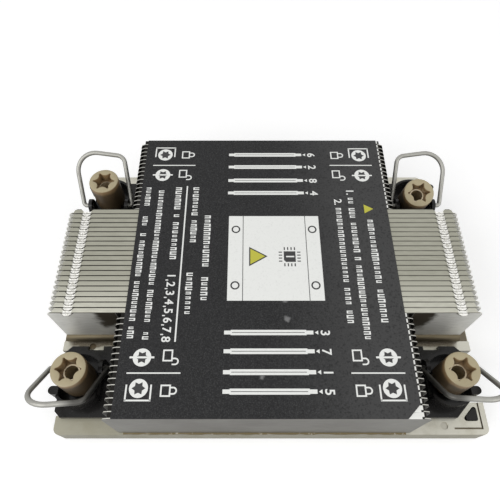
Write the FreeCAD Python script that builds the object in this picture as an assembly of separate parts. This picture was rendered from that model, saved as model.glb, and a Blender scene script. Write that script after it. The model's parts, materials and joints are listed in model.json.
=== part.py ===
"""Low-profile passive heatsink for a server processor.

A plated base plate carries flattened heat pipes, a stack of interlocking folded fins whose middle rows
reach out past the plate's corners as wings, a label, and four moulded corner brackets. Each bracket holds
a captive six-lobe nut and a swinging wire bail.

Frame: millimetres, +Z up, origin at the centre of the flat contact face under the plate, +Y to the rear,
+X to the right. The air flows along X.
"""
import FreeCAD, Part
import math
import os

os.makedirs("parts", exist_ok=True)

V = FreeCAD.Vector
UP = V(0, 0, 1)

# ---------------------------------------------------------------- base plate
CONTACT_LENGTH = 60.0        # raised contact face under the plate, along X
CONTACT_DEPTH = 44.0         # the same, along Y
CONTACT_HEIGHT = 1.2         # how far it stands below the plate
PLATE_THICKNESS = 5.5
PLATE_LEFT_LAP = 1.5         # the plate under the left wing reaches this far past the brackets
PLATE_RIGHT_LAP = 3.3        # the same under the right wing and at the marked corner
PLATE_CORNER_RADIUS = 1.6
NOTCH_MARGIN = 1.6           # from the end of the short fins to the corner notch
NOTCH_INNER_Y = 18.2         # where the notch meets the plate under the wing
NOTCH_DEPTH = 16.4           # along Y
ARM_DEPTH = 4.4              # arm in front of or behind the notch, along Y
DIMPLE_PLACES = [(-44.8, -17.1), (43.6, -36.9)]   # small pressed marks
DIMPLE_RADIUS = 0.9
DIMPLE_DEPTH = 0.3
MARK_INSET_X = 2.1           # triangular locating opening, from the plate's right edge
MARK_INSET_Y = 3.2           # and from its front edge
MARK_SIZE = 4.2              # length of its two short sides
MARK_RADIUS = 0.6
MARK_ARM_EXTRA = 3.2         # the marked corner's arm is deeper outboard of its bracket
MARK_STRIP = 1.4             # plate left between the opening and that bracket's notch
GROOVE_INSET = 1.3           # shallow groove along the rim of the marked corner
GROOVE_WIDTH = 0.4
GROOVE_LENGTH = 7.0          # its run along the front
GROOVE_DEPTH = 0.35

# ---------------------------------------------------------------- heat pipes
PIPE_COUNT = 4
PIPE_WIDTH = 7.8
PIPE_HEIGHT = 3.0
PIPE_GAP = 0.25
PIPE_SEAT = 0.5              # depth of the groove that a pipe lies in
PIPE_GROOVE_WIDTH = 7.1
PIPE_LAP = 0.3               # the pipes reach this far past the brackets

# ---------------------------------------------------------------- fins
SHEET = 0.3                  # sheet thickness
FIN_PITCH = 1.4
WING_FINS = 21
OUTER_FINS = 17              # short fins in front of the wings, and as many behind
FIN_TOP = 24.0
WING_LAP = 0.3               # the wing fins reach this far past the brackets
BLOCK_HALF_LENGTH = 35.0
FLANGE_SETBACK = 1.4         # the folded flange stops this far short of the fin's end
WING_CORNER = 1.0            # rounding of a wing fin's upper corners
BLOCK_CORNER = 1.5           # the same on a short fin
FLANGE_CORNER = 0.85         # rounding of a wing fin's flange at its free corners
LOCK_X = 46.4                # where the wing fins lock together
LOCK_ROOT = 3.1              # width of the tongue at its root
LOCK_TIP = 1.3               # and at its tip
LOCK_REACH = 0.8             # how far the tongue reaches into the next fin's flange
LOCK_GAP = 0.1               # clearance round the tongue
LOCK_RISE = 0.16             # the tongue's tip stands up this far

# ---------------------------------------------------------------- label
LABEL_LENGTH = 65.4
LABEL_THICKNESS = 0.3
LABEL_CORNER = 3.0           # cut corner above the marked corner

# ---------------------------------------------------------------- captive nuts
NUT_INSET_X = 8.4            # from the notch's inner sides
NUT_INSET_Y = 8.7
NUT_TOP = 20.5
NUT_RADIUS = 4.1
NUT_HEAD_BOTTOM = 11.2
NUT_NECK_RADIUS = 2.9
NUT_BORE_RADIUS = 1.9
NUT_EDGE = 0.35
NUT_SIDES = 24               # narrow flats round the nut, which keep a small round piece light
SOCKET_RADIUS = 2.85         # six-lobe socket, across the points
SOCKET_BULGE_RADIUS = 1.1    # round flanks between the points
SOCKET_BULGE_CENTRE = 3.05
SOCKET_BULGE_SIDES = 12
SOCKET_DEPTH = 3.0
BARREL_RADIUS = 4.0          # lower barrel, whose shoulder keeps the nut in its bracket
BARREL_TOP = 6.1
NUT_BOTTOM = 3.5
LOOSE_NUT_FORWARDS = 18.0    # the rear right nut leans in its clearance hole, in degrees forwards
LOOSE_NUT_INBOARD = 4.5      # and in degrees inboard
LOOSE_NUT_SHIFT = 0.1        # and hangs this far inboard of the middle

# ---------------------------------------------------------------- corner brackets
BRACKET_CLEARANCE = 0.15     # between the bracket and the plate's notch
BRACKET_OUTBOARD = 6.0       # from the nut's axis to the outboard edge
BRACKET_CHAMFER = 1.5
BRACKET_NUT_GAP = 0.65       # between the nut's head and the ears beside it
BRACKET_LIP = 0.7            # flange over the plate, front and rear of the notch
FLANGE_THICKNESS = 1.5
FOOT_THICKNESS = 0.8         # lower flange, under the plate
FOOT_LIP = 1.5
WEB_TOP = 9.4                # the web that the nut hangs in
WEB_THICKNESS = 1.5
WEB_HOLE_RADIUS = 3.75
POCKET_HALF_LENGTH = 4.9     # eight-sided pocket under the web, along X
POCKET_HALF_DEPTH = 5.9      # the same, along Y
POCKET_CUT = 2.0
WELL_RADIUS = 5.9            # round well above the web
COLLAR_RADIUS = 6.6
COLLAR_TOP = 12.7
RELIEF_INBOARD = 1.6         # shallow relief in the flange, its middle inboard of the nut's axis
RELIEF_WIDTH = 4.0
RELIEF_DEPTH = 1.0
EAR_THICKNESS = 0.95         # the two ears stand either side of the nut
EAR_HALF_WIDTH = 2.1
EAR_CROWN = 1.9              # material above the bail's axis
LUG_OUTBOARD = 6.4           # nose of the lug that the bail snaps past, from the nut's axis
LUG_BEYOND = 3.1             # and further from the wing than that axis
LUG_WIDTH = 2.0
LUG_LENGTH = 2.4
LUG_TOP = 13.6
PEG_CLEARANCE = 0.15         # triangular peg in the plate's locating opening
PEG_RISE = 0.3               # how far it stands above the plate

# ---------------------------------------------------------------- wire bails
WIRE_RADIUS = 0.68
PIVOT_NEARER = 2.7           # the bail's axis is this much nearer to the wing than the nut's
PIVOT_Z = 12.2
PIVOT_GAP = 0.05             # running clearance of the wire in its ears
INNER_LEG_GAP = 0.42         # between the foot of the inner leg and the inboard ear
OUTER_LEG_GAP = 0.92         # between the foot of the outer leg and the outboard ear
BAIL_LEAN = 1.6              # both legs lean outboard by this much over their length
INNER_LEG_LENGTH = 14.3
OUTER_LEG_LENGTH = 16.1
INNER_BEND_RADIUS = 2.3
OUTER_BEND_RADIUS = 5.4
FOOT_BEND_RADIUS = 0.9       # where each leg turns in towards its ear
BEND_STEP = 25.0             # a bend turns in straight steps of at most this many degrees
WIRE_SIDES = 12              # flats round the wire, which keep a small round piece light
END_MARGIN = 0.15            # the wire's end stops short of the ear's far face
BAIL_ANGLES = {
    "front_left": 43.4,      # degrees above the horizontal, swung outwards
    "front_right": 48.0,
    "rear_left": 44.9,
    "rear_right": 33.2,
}

# ---------------------------------------------------------------- worked out from the sizes above
NOTCH_INNER_X = BLOCK_HALF_LENGTH + NOTCH_MARGIN
ARM_INNER_Y = NOTCH_INNER_Y + NOTCH_DEPTH
PLATE_DEPTH = 2 * (ARM_INNER_Y + ARM_DEPTH)
NUT_X = NOTCH_INNER_X + NUT_INSET_X
NUT_Y = NOTCH_INNER_Y + NUT_INSET_Y
BRACKET_REACH = NUT_X + BRACKET_OUTBOARD
PLATE_LEFT = BRACKET_REACH + PLATE_LEFT_LAP
PLATE_RIGHT = BRACKET_REACH + PLATE_RIGHT_LAP
PIPE_HALF_LENGTH = BRACKET_REACH + PIPE_LAP
WING_HALF_LENGTH = BRACKET_REACH + WING_LAP
STACK_DEPTH = (WING_FINS + 2 * OUTER_FINS) * FIN_PITCH
MARK_X = PLATE_RIGHT - MARK_INSET_X          # right-angled corner of the locating opening
MARK_Y = MARK_INSET_Y - PLATE_DEPTH / 2
MARK_ARM_Y = ARM_INNER_Y - MARK_ARM_EXTRA
EAR_REACH = NUT_RADIUS + BRACKET_NUT_GAP + EAR_THICKNESS     # from the nut's axis to an ear's far face
INNER_LEG_X = NUT_X - EAR_REACH - INNER_LEG_GAP - WIRE_RADIUS
OUTER_LEG_X = NUT_X + EAR_REACH + OUTER_LEG_GAP + WIRE_RADIUS
PIVOT_Y = NUT_Y - PIVOT_NEARER
PLATE_BOTTOM = CONTACT_HEIGHT
PLATE_TOP = PLATE_BOTTOM + PLATE_THICKNESS
PIPE_BOTTOM = PLATE_TOP - PIPE_SEAT
PIPE_TOP = PIPE_BOTTOM + PIPE_HEIGHT
FLANGE_TOP = PLATE_TOP + FLANGE_THICKNESS
MARK_DIAGONAL = MARK_X - MARK_Y - MARK_SIZE - MARK_STRIP * math.sqrt(2)   # x + |y| on the slanted notch side
CORNERS = {
    "front_left": (-1, -1),
    "front_right": (1, -1),
    "rear_left": (-1, 1),
    "rear_right": (1, 1),
}


def save(name, shape):
    """Write one node's solid or group of solids."""
    shape.exportStep("parts/" + name + ".step")
    print(name, "solids", len(shape.Solids), "volume", round(shape.Volume, 2), "valid", shape.isValid())


def prism(points, bottom, top):
    """Upright prism on a closed outline of (x, y) points."""
    wire = Part.makePolygon([V(x, y, bottom) for x, y in points + points[:1]])
    return Part.Face(wire).extrude(V(0, 0, top - bottom))


def block(x0, x1, y0, y1, z0, z1):
    """Box between two corners."""
    return Part.makeBox(x1 - x0, y1 - y0, z1 - z0, V(x0, y0, z0))


def cylinder(x, y, bottom, top, radius):
    """Upright cylinder."""
    return Part.makeCylinder(radius, top - bottom, V(x, y, bottom))


def ring_points(x, y, radius, sides):
    """Corners of a regular polygon round (x, y)."""
    turns = [math.tau * k / sides for k in range(sides)]
    return [(x + radius * math.cos(t), y + radius * math.sin(t)) for t in turns]


def drum(x, y, bottom, top, radius, sides):
    """Upright round piece with narrow flats."""
    return prism(ring_points(x, y, radius, sides), bottom, top)


def round_upright(shape, radius, chosen):
    """Round the upright edges whose place satisfies chosen(x, y)."""
    edges = []
    for edge in shape.Edges:
        ends = [v.Point for v in edge.Vertexes]
        if len(ends) == 2 and abs(ends[0].x - ends[1].x) + abs(ends[0].y - ends[1].y) < 1e-6:
            if chosen(ends[0].x, ends[0].y):
                edges.append(edge)
    return shape.makeFillet(radius, edges) if edges else shape


def to_corner(shape, side_x, side_y):
    """Mirror a shape drawn for the rear right corner into another corner."""
    if side_x < 0:
        shape = shape.mirror(V(0, 0, 0), V(1, 0, 0))
    if side_y < 0:
        shape = shape.mirror(V(0, 0, 0), V(0, 1, 0))
    return shape


# ---------------------------------------------------------------- base plate
def plate_outline():
    """The plate seen from above, with its four corner notches."""
    half = PLATE_DEPTH / 2
    arm = BRACKET_REACH
    left = PLATE_LEFT
    right = PLATE_RIGHT
    slant = MARK_DIAGONAL
    return [
        (-arm, -half), (right, -half), (right, -MARK_ARM_Y), (slant - MARK_ARM_Y, -MARK_ARM_Y),
        (slant - ARM_INNER_Y, -ARM_INNER_Y), (NOTCH_INNER_X, -ARM_INNER_Y),
        (NOTCH_INNER_X, -NOTCH_INNER_Y), (right, -NOTCH_INNER_Y),
        (right, NOTCH_INNER_Y), (NOTCH_INNER_X, NOTCH_INNER_Y), (NOTCH_INNER_X, ARM_INNER_Y),
        (arm, ARM_INNER_Y), (arm, half), (-arm, half), (-arm, ARM_INNER_Y),
        (-NOTCH_INNER_X, ARM_INNER_Y), (-NOTCH_INNER_X, NOTCH_INNER_Y), (-left, NOTCH_INNER_Y),
        (-left, -NOTCH_INNER_Y), (-NOTCH_INNER_X, -NOTCH_INNER_Y), (-NOTCH_INNER_X, -ARM_INNER_Y),
        (-arm, -ARM_INNER_Y),
    ]


def mark_triangle(grow, bottom, top):
    """Rounded right-angled triangle of the locating mark, grown or shrunk by grow."""
    slack = grow * (1 + math.sqrt(2))
    corner = (MARK_X + grow, MARK_Y - grow)
    points = [corner, (corner[0], MARK_Y + MARK_SIZE + slack), (MARK_X - MARK_SIZE - slack, corner[1])]
    return round_upright(prism(points, bottom, top), MARK_RADIUS, lambda x, y: True)


def rim_groove():
    """Shallow groove just inside the right and front rim of the marked corner."""
    right = PLATE_RIGHT - GROOVE_INSET
    front = -PLATE_DEPTH / 2 + GROOVE_INSET
    floor = PLATE_TOP - GROOVE_DEPTH
    side = block(right - GROOVE_WIDTH, right, front, -MARK_ARM_Y, floor, PLATE_TOP)
    return side.fuse(block(right - GROOVE_LENGTH, right, front, front + GROOVE_WIDTH, floor, PLATE_TOP))


def pipe_centre(index):
    """Y of one heat pipe's centre line."""
    return (index - (PIPE_COUNT - 1) / 2) * (PIPE_WIDTH + PIPE_GAP)


def pipe_solid(index):
    """Flattened round pipe lying along X."""
    y = pipe_centre(index)
    r = PIPE_HEIGHT / 2
    half = PIPE_WIDTH / 2 - r
    z = PIPE_BOTTOM + r
    x = -PIPE_HALF_LENGTH
    edges = [
        Part.LineSegment(V(x, y - half, z - r), V(x, y + half, z - r)).toShape(),
        Part.Arc(V(x, y + half, z - r), V(x, y + half + r, z), V(x, y + half, z + r)).toShape(),
        Part.LineSegment(V(x, y + half, z + r), V(x, y - half, z + r)).toShape(),
        Part.Arc(V(x, y - half, z + r), V(x, y - half - r, z), V(x, y - half, z - r)).toShape(),
    ]
    return Part.Face(Part.Wire(edges)).extrude(V(2 * PIPE_HALF_LENGTH, 0, 0))


def pipe_groove(index):
    """Shallow flat-bottomed groove across the plate that one pipe is soldered into."""
    y = pipe_centre(index)
    half = PIPE_GROOVE_WIDTH / 2
    reach = max(PLATE_LEFT, PLATE_RIGHT)
    return block(-reach, reach, y - half, y + half, PIPE_BOTTOM, PLATE_TOP)


def base_plate():
    """Plate with the contact face, pipe grooves, pressed marks and the locating opening."""
    plate = prism(plate_outline(), PLATE_BOTTOM, PLATE_TOP)
    plate = round_upright(plate, PLATE_CORNER_RADIUS, lambda x, y: abs(y) > ARM_INNER_Y + ARM_DEPTH / 2)
    x, y = CONTACT_LENGTH / 2, CONTACT_DEPTH / 2
    land = block(-x, x, -y, y, 0, PLATE_BOTTOM)
    plate = plate.fuse(round_upright(land, PLATE_CORNER_RADIUS, lambda x, y: True))
    cuts = [pipe_groove(i) for i in range(PIPE_COUNT)]
    cuts.append(mark_triangle(0, PLATE_BOTTOM, PLATE_TOP))
    cuts.append(rim_groove())
    for x, y in DIMPLE_PLACES:
        cuts.append(cylinder(x, y, PLATE_TOP - DIMPLE_DEPTH, PLATE_TOP, DIMPLE_RADIUS))
    return plate.cut(cuts).removeSplitter()


# ---------------------------------------------------------------- fins
def eased_corner(size):
    """Setbacks of the three points that ease a sheet's corner in two short facets."""
    middle = size * (1 - math.sqrt(0.5))
    return [(0, size), (middle, middle), (size, 0)]


def web(half_length, bottom, corner):
    """Upright sheet of one fin, its front face at y = 0, with eased upper corners."""
    right = [(half_length - a, FIN_TOP - b) for a, b in eased_corner(corner)]
    left = [(-x, z) for x, z in reversed(right)]
    outline = [(-half_length, bottom), (half_length, bottom)] + right + left
    wire = Part.makePolygon([V(x, 0, z) for x, z in outline + outline[:1]])
    return Part.Face(wire).extrude(V(0, SHEET, 0))


def eased_flange(half_length, bottom):
    """Flange folded back from the web to the next fin, with its free corners eased."""
    x = half_length - FLANGE_SETBACK
    right = [(x - a, FIN_PITCH - b) for a, b in eased_corner(FLANGE_CORNER)]
    left = [(-px, y) for px, y in reversed(right)]
    return prism([(-x, SHEET), (x, SHEET)] + right + left, bottom, bottom + SHEET)


def plain_flange(half_length, bottom):
    """The same with square corners, for what is soldered down or under the label."""
    x = half_length - FLANGE_SETBACK
    return block(-x, x, SHEET, FIN_PITCH, bottom, bottom + SHEET)


def lock_outline(x, root, tip, y_root, y_tip):
    """Tapered tongue or notch seen from above."""
    return [(x - root / 2, y_root), (x - tip / 2, y_tip), (x + tip / 2, y_tip), (x + root / 2, y_root)]


def lock_notch(x):
    """Opening in the flange's free edge that takes the tongue of the fin behind."""
    depth = LOCK_REACH + LOCK_GAP
    grow = 2 * LOCK_GAP
    outline = lock_outline(x, LOCK_ROOT + grow, LOCK_TIP + grow, FIN_PITCH, FIN_PITCH - depth)
    return prism(outline, FIN_TOP - SHEET, FIN_TOP)


def slanted_bar(ring_a, ring_b):
    """Solid with flat faces between two four-cornered rings."""
    faces = [Part.Face(Part.makePolygon(ring + ring[:1])) for ring in (ring_a, ring_b)]
    for k in range(4):
        n = (k + 1) % 4
        side = [ring_a[k], ring_a[n], ring_b[n], ring_b[k], ring_a[k]]
        faces.append(Part.Face(Part.makePolygon(side)))
    return Part.Solid(Part.Shell(faces))


def lock_tongue(x):
    """Tongue that reaches forwards from the fold, its tip standing slightly up."""
    root, tip = LOCK_ROOT / 2, LOCK_TIP / 2
    low, high = FIN_TOP - SHEET, FIN_TOP
    near = [V(x - root, 0, low), V(x + root, 0, low), V(x + root, 0, high), V(x - root, 0, high)]
    y, low, high = -LOCK_REACH, low + LOCK_RISE, high + LOCK_RISE
    far = [V(x - tip, y, low), V(x + tip, y, low), V(x + tip, y, high), V(x - tip, y, high)]
    return slanted_bar(near, far)


def fin(half_length, bottom, corner, lock_places):
    """One folded fin with its web's front face at y = 0."""
    if lock_places:
        top = eased_flange(half_length, FIN_TOP - SHEET).cut([lock_notch(x) for x in lock_places])
    else:
        top = plain_flange(half_length, FIN_TOP - SHEET)
    pieces = [top, plain_flange(half_length, bottom)] + [lock_tongue(x) for x in lock_places]
    return web(half_length, bottom, corner).fuse(pieces).removeSplitter()


def fin_place(index):
    """Y of a fin's front face, counted from the front of the stack."""
    return index * FIN_PITCH - STACK_DEPTH / 2


def fin_bottom(index):
    """A fin with any of its foot over the heat pipes stands on them, and any other on the plate."""
    edge = pipe_centre(PIPE_COUNT - 1) + PIPE_WIDTH / 2
    y = fin_place(index)
    return PIPE_TOP if y < edge and y + FIN_PITCH > -edge else PLATE_TOP


def fin_row(first, count, half_length, corner, lock_places):
    """Consecutive fins of one kind, each at its place in the stack."""
    row = []
    for index in range(first, first + count):
        shape = fin(half_length, fin_bottom(index), corner, lock_places)
        shape.translate(V(0, fin_place(index), 0))
        row.append(shape)
    return row


def build_fins():
    """Short fins in front and behind as two groups, and every wing fin as a node of its own."""
    short = (BLOCK_HALF_LENGTH, BLOCK_CORNER, [])
    wide = (WING_HALF_LENGTH, WING_CORNER, [-LOCK_X, LOCK_X])
    save("front_fins", Part.makeCompound(fin_row(0, OUTER_FINS, *short)))
    for number, shape in enumerate(fin_row(OUTER_FINS, WING_FINS, *wide), 1):
        save("wing_fin_%02d" % number, shape)
    save("rear_fins", Part.makeCompound(fin_row(OUTER_FINS + WING_FINS, OUTER_FINS, *short)))


# ---------------------------------------------------------------- label
def label():
    """Thin label on the block's top flanges, with one cut corner."""
    x, y, c = LABEL_LENGTH / 2, STACK_DEPTH / 2, LABEL_CORNER
    outline = [(-x, -y), (x - c, -y), (x, -y + c), (x, y), (-x, y)]
    return prism(outline, FIN_TOP, FIN_TOP + LABEL_THICKNESS)


# ---------------------------------------------------------------- captive nuts
def six_lobe_socket():
    """Star-shaped recess: a round hole with six round flanks left standing between the points."""
    floor = NUT_TOP - SOCKET_DEPTH
    socket = drum(0, 0, floor, NUT_TOP, SOCKET_RADIUS, NUT_SIDES)
    flanks = []
    for index in range(6):
        angle = math.radians(30 + 60 * index)
        x = SOCKET_BULGE_CENTRE * math.cos(angle)
        y = SOCKET_BULGE_CENTRE * math.sin(angle)
        flanks.append(drum(x, y, floor, NUT_TOP, SOCKET_BULGE_RADIUS, SOCKET_BULGE_SIDES))
    return socket.cut(flanks)


def nut_solid():
    """Captive nut standing on the origin's axis."""
    shoulder = NUT_TOP - NUT_EDGE
    rings = [(NUT_RADIUS, shoulder), (NUT_RADIUS - NUT_EDGE, NUT_TOP)]
    bevel = [
        Part.makePolygon([V(x, y, z) for x, y in ring_points(0, 0, radius, NUT_SIDES) + [(radius, 0)]])
        for radius, z in rings
    ]
    body = drum(0, 0, NUT_HEAD_BOTTOM, shoulder, NUT_RADIUS, NUT_SIDES).fuse([
        Part.makeLoft(bevel, True, True),
        drum(0, 0, BARREL_TOP, NUT_HEAD_BOTTOM, NUT_NECK_RADIUS, NUT_SIDES),
        drum(0, 0, NUT_BOTTOM, BARREL_TOP, BARREL_RADIUS, NUT_SIDES),
    ])
    return body.cut([six_lobe_socket(), cylinder(0, 0, NUT_BOTTOM, NUT_TOP, NUT_BORE_RADIUS)])


def build_nuts():
    """Four nuts; the rear right one leans about the middle of its bracket's web."""
    for name, (side_x, side_y) in CORNERS.items():
        nut = nut_solid()
        if name == "rear_right":
            middle = V(0, 0, WEB_TOP - WEB_THICKNESS / 2)
            nut.rotate(middle, V(1, 0, 0), LOOSE_NUT_FORWARDS)
            nut.rotate(middle, V(0, -1, 0), LOOSE_NUT_INBOARD)
            nut.translate(V(-LOOSE_NUT_SHIFT, 0, 0))
        nut.translate(V(side_x * NUT_X, side_y * NUT_Y, 0))
        save("nut_" + name, nut)


# ---------------------------------------------------------------- corner brackets
def notch_piece(grow, reach_y, chamfers, bottom, top):
    """Level slab that follows the plate's notch, grown inboard by grow and to reach_y front and rear."""
    x0 = NOTCH_INNER_X - grow
    x1 = BRACKET_REACH
    y0 = NOTCH_INNER_Y - reach_y
    y1 = ARM_INNER_Y + reach_y
    near, far = chamfers
    outline = [(x0, y0), (x1 - near, y0), (x1, y0 + near), (x1, y1 - far), (x1 - far, y1), (x0, y1)]
    return prism(outline, bottom, top)


def ear_spans():
    """X ranges of the inboard and outboard ears."""
    near = EAR_REACH - EAR_THICKNESS
    return [(NUT_X - EAR_REACH, NUT_X - near), (NUT_X + near, NUT_X + EAR_REACH)]


def pivot_ear(span):
    """Upright ear with a round top."""
    x0, x1 = span
    ear = block(x0, x1, PIVOT_Y - EAR_HALF_WIDTH, PIVOT_Y + EAR_HALF_WIDTH, FLANGE_TOP, PIVOT_Z)
    return ear.fuse(Part.makeCylinder(EAR_CROWN, x1 - x0, V(x0, PIVOT_Y, PIVOT_Z), V(1, 0, 0)))


def pivot_hole(span):
    """Hole through an ear, with as many flats as the wire and room for its corners to turn."""
    reach = (WIRE_RADIUS + PIVOT_GAP) / math.cos(math.pi / WIRE_SIDES)
    points = [V(span[0], PIVOT_Y + a, PIVOT_Z + b) for a, b in ring_points(0, 0, reach, WIRE_SIDES)]
    return Part.Face(Part.makePolygon(points + points[:1])).extrude(V(span[1] - span[0], 0, 0))


def bail_lug():
    """Lug with a round nose that the bail's outer leg snaps past."""
    half = LUG_WIDTH / 2
    tip = NUT_X + LUG_OUTBOARD
    y = NUT_Y + LUG_BEYOND
    lug = block(tip - LUG_LENGTH, tip - half, y - half, y + half, FLANGE_TOP, LUG_TOP)
    return lug.fuse(cylinder(tip - half, y, FLANGE_TOP + FLANGE_THICKNESS, LUG_TOP, half))


def far_chamfer(corner_sum, marked, gap):
    """Cut of the corner next to the arm: plain, or long enough to run along the slanted notch side."""
    return max(BRACKET_CHAMFER, corner_sum - MARK_DIAGONAL + gap) if marked else BRACKET_CHAMFER


def nut_hollow():
    """All that is taken out for the nut: the pocket below, the hole in the web and the round well above."""
    x, y, c = POCKET_HALF_LENGTH, POCKET_HALF_DEPTH, POCKET_CUT
    quarter = [(x, y - c), (x - c, y)]
    outline = quarter + [(-px, py) for px, py in reversed(quarter)]
    outline += [(-px, -py) for px, py in outline]
    web_bottom = WEB_TOP - WEB_THICKNESS
    pocket = prism([(NUT_X + px, NUT_Y + py) for px, py in outline], 0, web_bottom)
    hole = drum(NUT_X, NUT_Y, web_bottom, WEB_TOP, WEB_HOLE_RADIUS, NUT_SIDES)
    return [pocket, hole, cylinder(NUT_X, NUT_Y, WEB_TOP, LUG_TOP, WELL_RADIUS)]


def bracket(marked):
    """Bracket drawn for the rear right corner; marked gives the one beside the locating opening."""
    gap = BRACKET_CLEARANCE
    core_cut = far_chamfer(BRACKET_REACH + ARM_INNER_Y, marked, gap)
    core = notch_piece(-gap, -gap, (BRACKET_CHAMFER, core_cut), PLATE_BOTTOM, PLATE_TOP)
    upper_cut = far_chamfer(BRACKET_REACH + ARM_INNER_Y + BRACKET_LIP, marked, -gap)
    upper = notch_piece(BRACKET_LIP, BRACKET_LIP, (BRACKET_CHAMFER, upper_cut), PLATE_TOP, FLANGE_TOP)
    x, y = NUT_X - RELIEF_INBOARD - RELIEF_WIDTH / 2, NOTCH_INNER_Y - BRACKET_LIP
    relief = block(x, x + RELIEF_WIDTH, y, y + RELIEF_DEPTH, PLATE_TOP, FLANGE_TOP)
    chamfers = (BRACKET_CHAMFER, BRACKET_CHAMFER)
    foot = notch_piece(FOOT_LIP, FOOT_LIP, chamfers, PLATE_BOTTOM - FOOT_THICKNESS, PLATE_BOTTOM)
    inner, outer = ear_spans()
    collar = cylinder(NUT_X, NUT_Y, FLANGE_TOP, COLLAR_TOP, COLLAR_RADIUS)
    collar = collar.common(block(inner[1], outer[0], 0, PLATE_DEPTH, FLANGE_TOP, COLLAR_TOP))
    body = core.fuse([upper.cut(relief), foot, collar]).cut(nut_hollow())
    body = body.fuse([bail_lug(), pivot_ear(inner), pivot_ear(outer)])
    holes = [pivot_hole(ear) for ear in (inner, outer)]
    return body.cut(holes).removeSplitter()


def locating_peg():
    """Triangular peg that fills the locating opening, with the foot that carries it."""
    peg = mark_triangle(-PEG_CLEARANCE, PLATE_BOTTOM, PLATE_TOP + PEG_RISE)
    foot = mark_triangle(MARK_RADIUS, PLATE_BOTTOM - FOOT_THICKNESS, PLATE_BOTTOM)
    return peg.fuse(foot)


def build_brackets():
    """Four brackets; the front right one also carries the locating peg."""
    for name, (side_x, side_y) in CORNERS.items():
        marked = name == "front_right"
        shape = to_corner(bracket(marked), side_x, side_y)
        if marked:
            shape = shape.fuse(locating_peg()).removeSplitter()
        save("bracket_" + name, shape)


# ---------------------------------------------------------------- wire bails
def bend_points(before, corner, after, radius):
    """Points of a bend between two straight stretches, on a round curve of the given radius."""
    back = (before - corner).normalize()
    onward = (after - corner).normalize()
    turn = math.pi - back.getAngle(onward)
    start = corner + back * (radius * math.tan(turn / 2))
    inwards = (onward + back * math.cos(turn)).normalize()
    steps = math.ceil(math.degrees(turn) / BEND_STEP)
    points = []
    for step in range(steps + 1):
        angle = turn * step / steps
        points.append(start - back * (radius * math.sin(angle)) + inwards * (radius * (1 - math.cos(angle))))
    return points


def bail():
    """Bail lying level to the rear of its axis, drawn for the rear right corner."""
    inner, outer = ear_spans()
    corners = [
        V(inner[1] - END_MARGIN, 0, 0),
        V(INNER_LEG_X, 0, 0),
        V(INNER_LEG_X + BAIL_LEAN, INNER_LEG_LENGTH, 0),
        V(OUTER_LEG_X + BAIL_LEAN, OUTER_LEG_LENGTH, 0),
        V(OUTER_LEG_X, 0, 0),
        V(outer[0] + END_MARGIN, 0, 0),
    ]
    route = corners[:1]
    radii = [FOOT_BEND_RADIUS, INNER_BEND_RADIUS, OUTER_BEND_RADIUS, FOOT_BEND_RADIUS]
    for index, radius in enumerate(radii):
        route += bend_points(*corners[index:index + 3], radius)
    route.append(corners[-1])
    turns = [math.tau * (k + 0.5) / WIRE_SIDES for k in range(WIRE_SIDES + 1)]
    ring = [V(route[0].x, WIRE_RADIUS * math.cos(t), WIRE_RADIUS * math.sin(t)) for t in turns]
    return Part.makePolygon(route).makePipeShell([Part.makePolygon(ring)], True, False, 1)


def build_bails():
    """Four bails, each swung to its own angle about the axis through its ears."""
    for name, (side_x, side_y) in CORNERS.items():
        shape = bail()
        shape.rotate(V(0, 0, 0), V(1, 0, 0), BAIL_ANGLES[name])
        shape.translate(V(0, PIVOT_Y, PIVOT_Z))
        save("bail_" + name, to_corner(shape, side_x, side_y))


save("base_plate", base_plate())
for pipe_number in range(PIPE_COUNT):
    save("heat_pipe_%d" % (pipe_number + 1), pipe_solid(pipe_number))
build_fins()
save("label", label())
build_brackets()
build_nuts()
build_bails()
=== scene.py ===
"""Looks of the low processor heatsink: materials, label print, nuts, wires, solder and studio.

Every piece is drawn in the frame of the construction: metres, +Z up, origin at the centre of the
contact face. The numbers of the materials and of the print are in millimetres.
"""

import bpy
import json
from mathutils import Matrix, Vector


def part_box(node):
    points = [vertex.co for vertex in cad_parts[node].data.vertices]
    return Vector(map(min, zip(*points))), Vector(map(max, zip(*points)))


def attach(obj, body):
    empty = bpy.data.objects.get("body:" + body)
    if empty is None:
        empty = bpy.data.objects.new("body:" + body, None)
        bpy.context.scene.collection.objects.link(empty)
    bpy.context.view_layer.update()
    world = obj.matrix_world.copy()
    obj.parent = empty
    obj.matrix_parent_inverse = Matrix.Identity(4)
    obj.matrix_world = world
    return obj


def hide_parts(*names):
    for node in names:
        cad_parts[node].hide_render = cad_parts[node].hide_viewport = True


bl_info = {
    "name": "Processor heatsink looks",
    "version": (1, 0, 0),
    "blender": (4, 5, 0),
    "location": "3D View > Sidebar > Heatsink",
    "description": "Paints the heatsink and draws its print, nuts, wires, solder and studio",
    "category": "Object",
}

import bpy
import json
import math
import random
from collections import namedtuple
from mathutils import Matrix, Vector

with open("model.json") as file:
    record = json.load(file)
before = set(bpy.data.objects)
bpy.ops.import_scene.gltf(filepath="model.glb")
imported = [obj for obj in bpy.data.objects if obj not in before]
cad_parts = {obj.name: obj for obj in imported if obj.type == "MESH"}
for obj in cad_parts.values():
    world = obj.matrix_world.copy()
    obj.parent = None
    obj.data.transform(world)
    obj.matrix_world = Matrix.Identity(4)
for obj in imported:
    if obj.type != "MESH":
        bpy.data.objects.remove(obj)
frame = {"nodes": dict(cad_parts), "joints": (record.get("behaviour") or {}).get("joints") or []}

MM = 0.001
CORNERS = {
    "front_left": (-1, -1),
    "front_right": (1, -1),
    "rear_left": (-1, 1),
    "rear_right": (1, 1),
}
LOOSE_CORNER = "rear_right"


# ---------------------------------------------------------------- settings
def length(name, description, millimetres):
    """A length setting in metres."""
    return bpy.props.FloatProperty(
        name=name, description=description, default=millimetres * MM, unit="LENGTH", precision=5)


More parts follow.
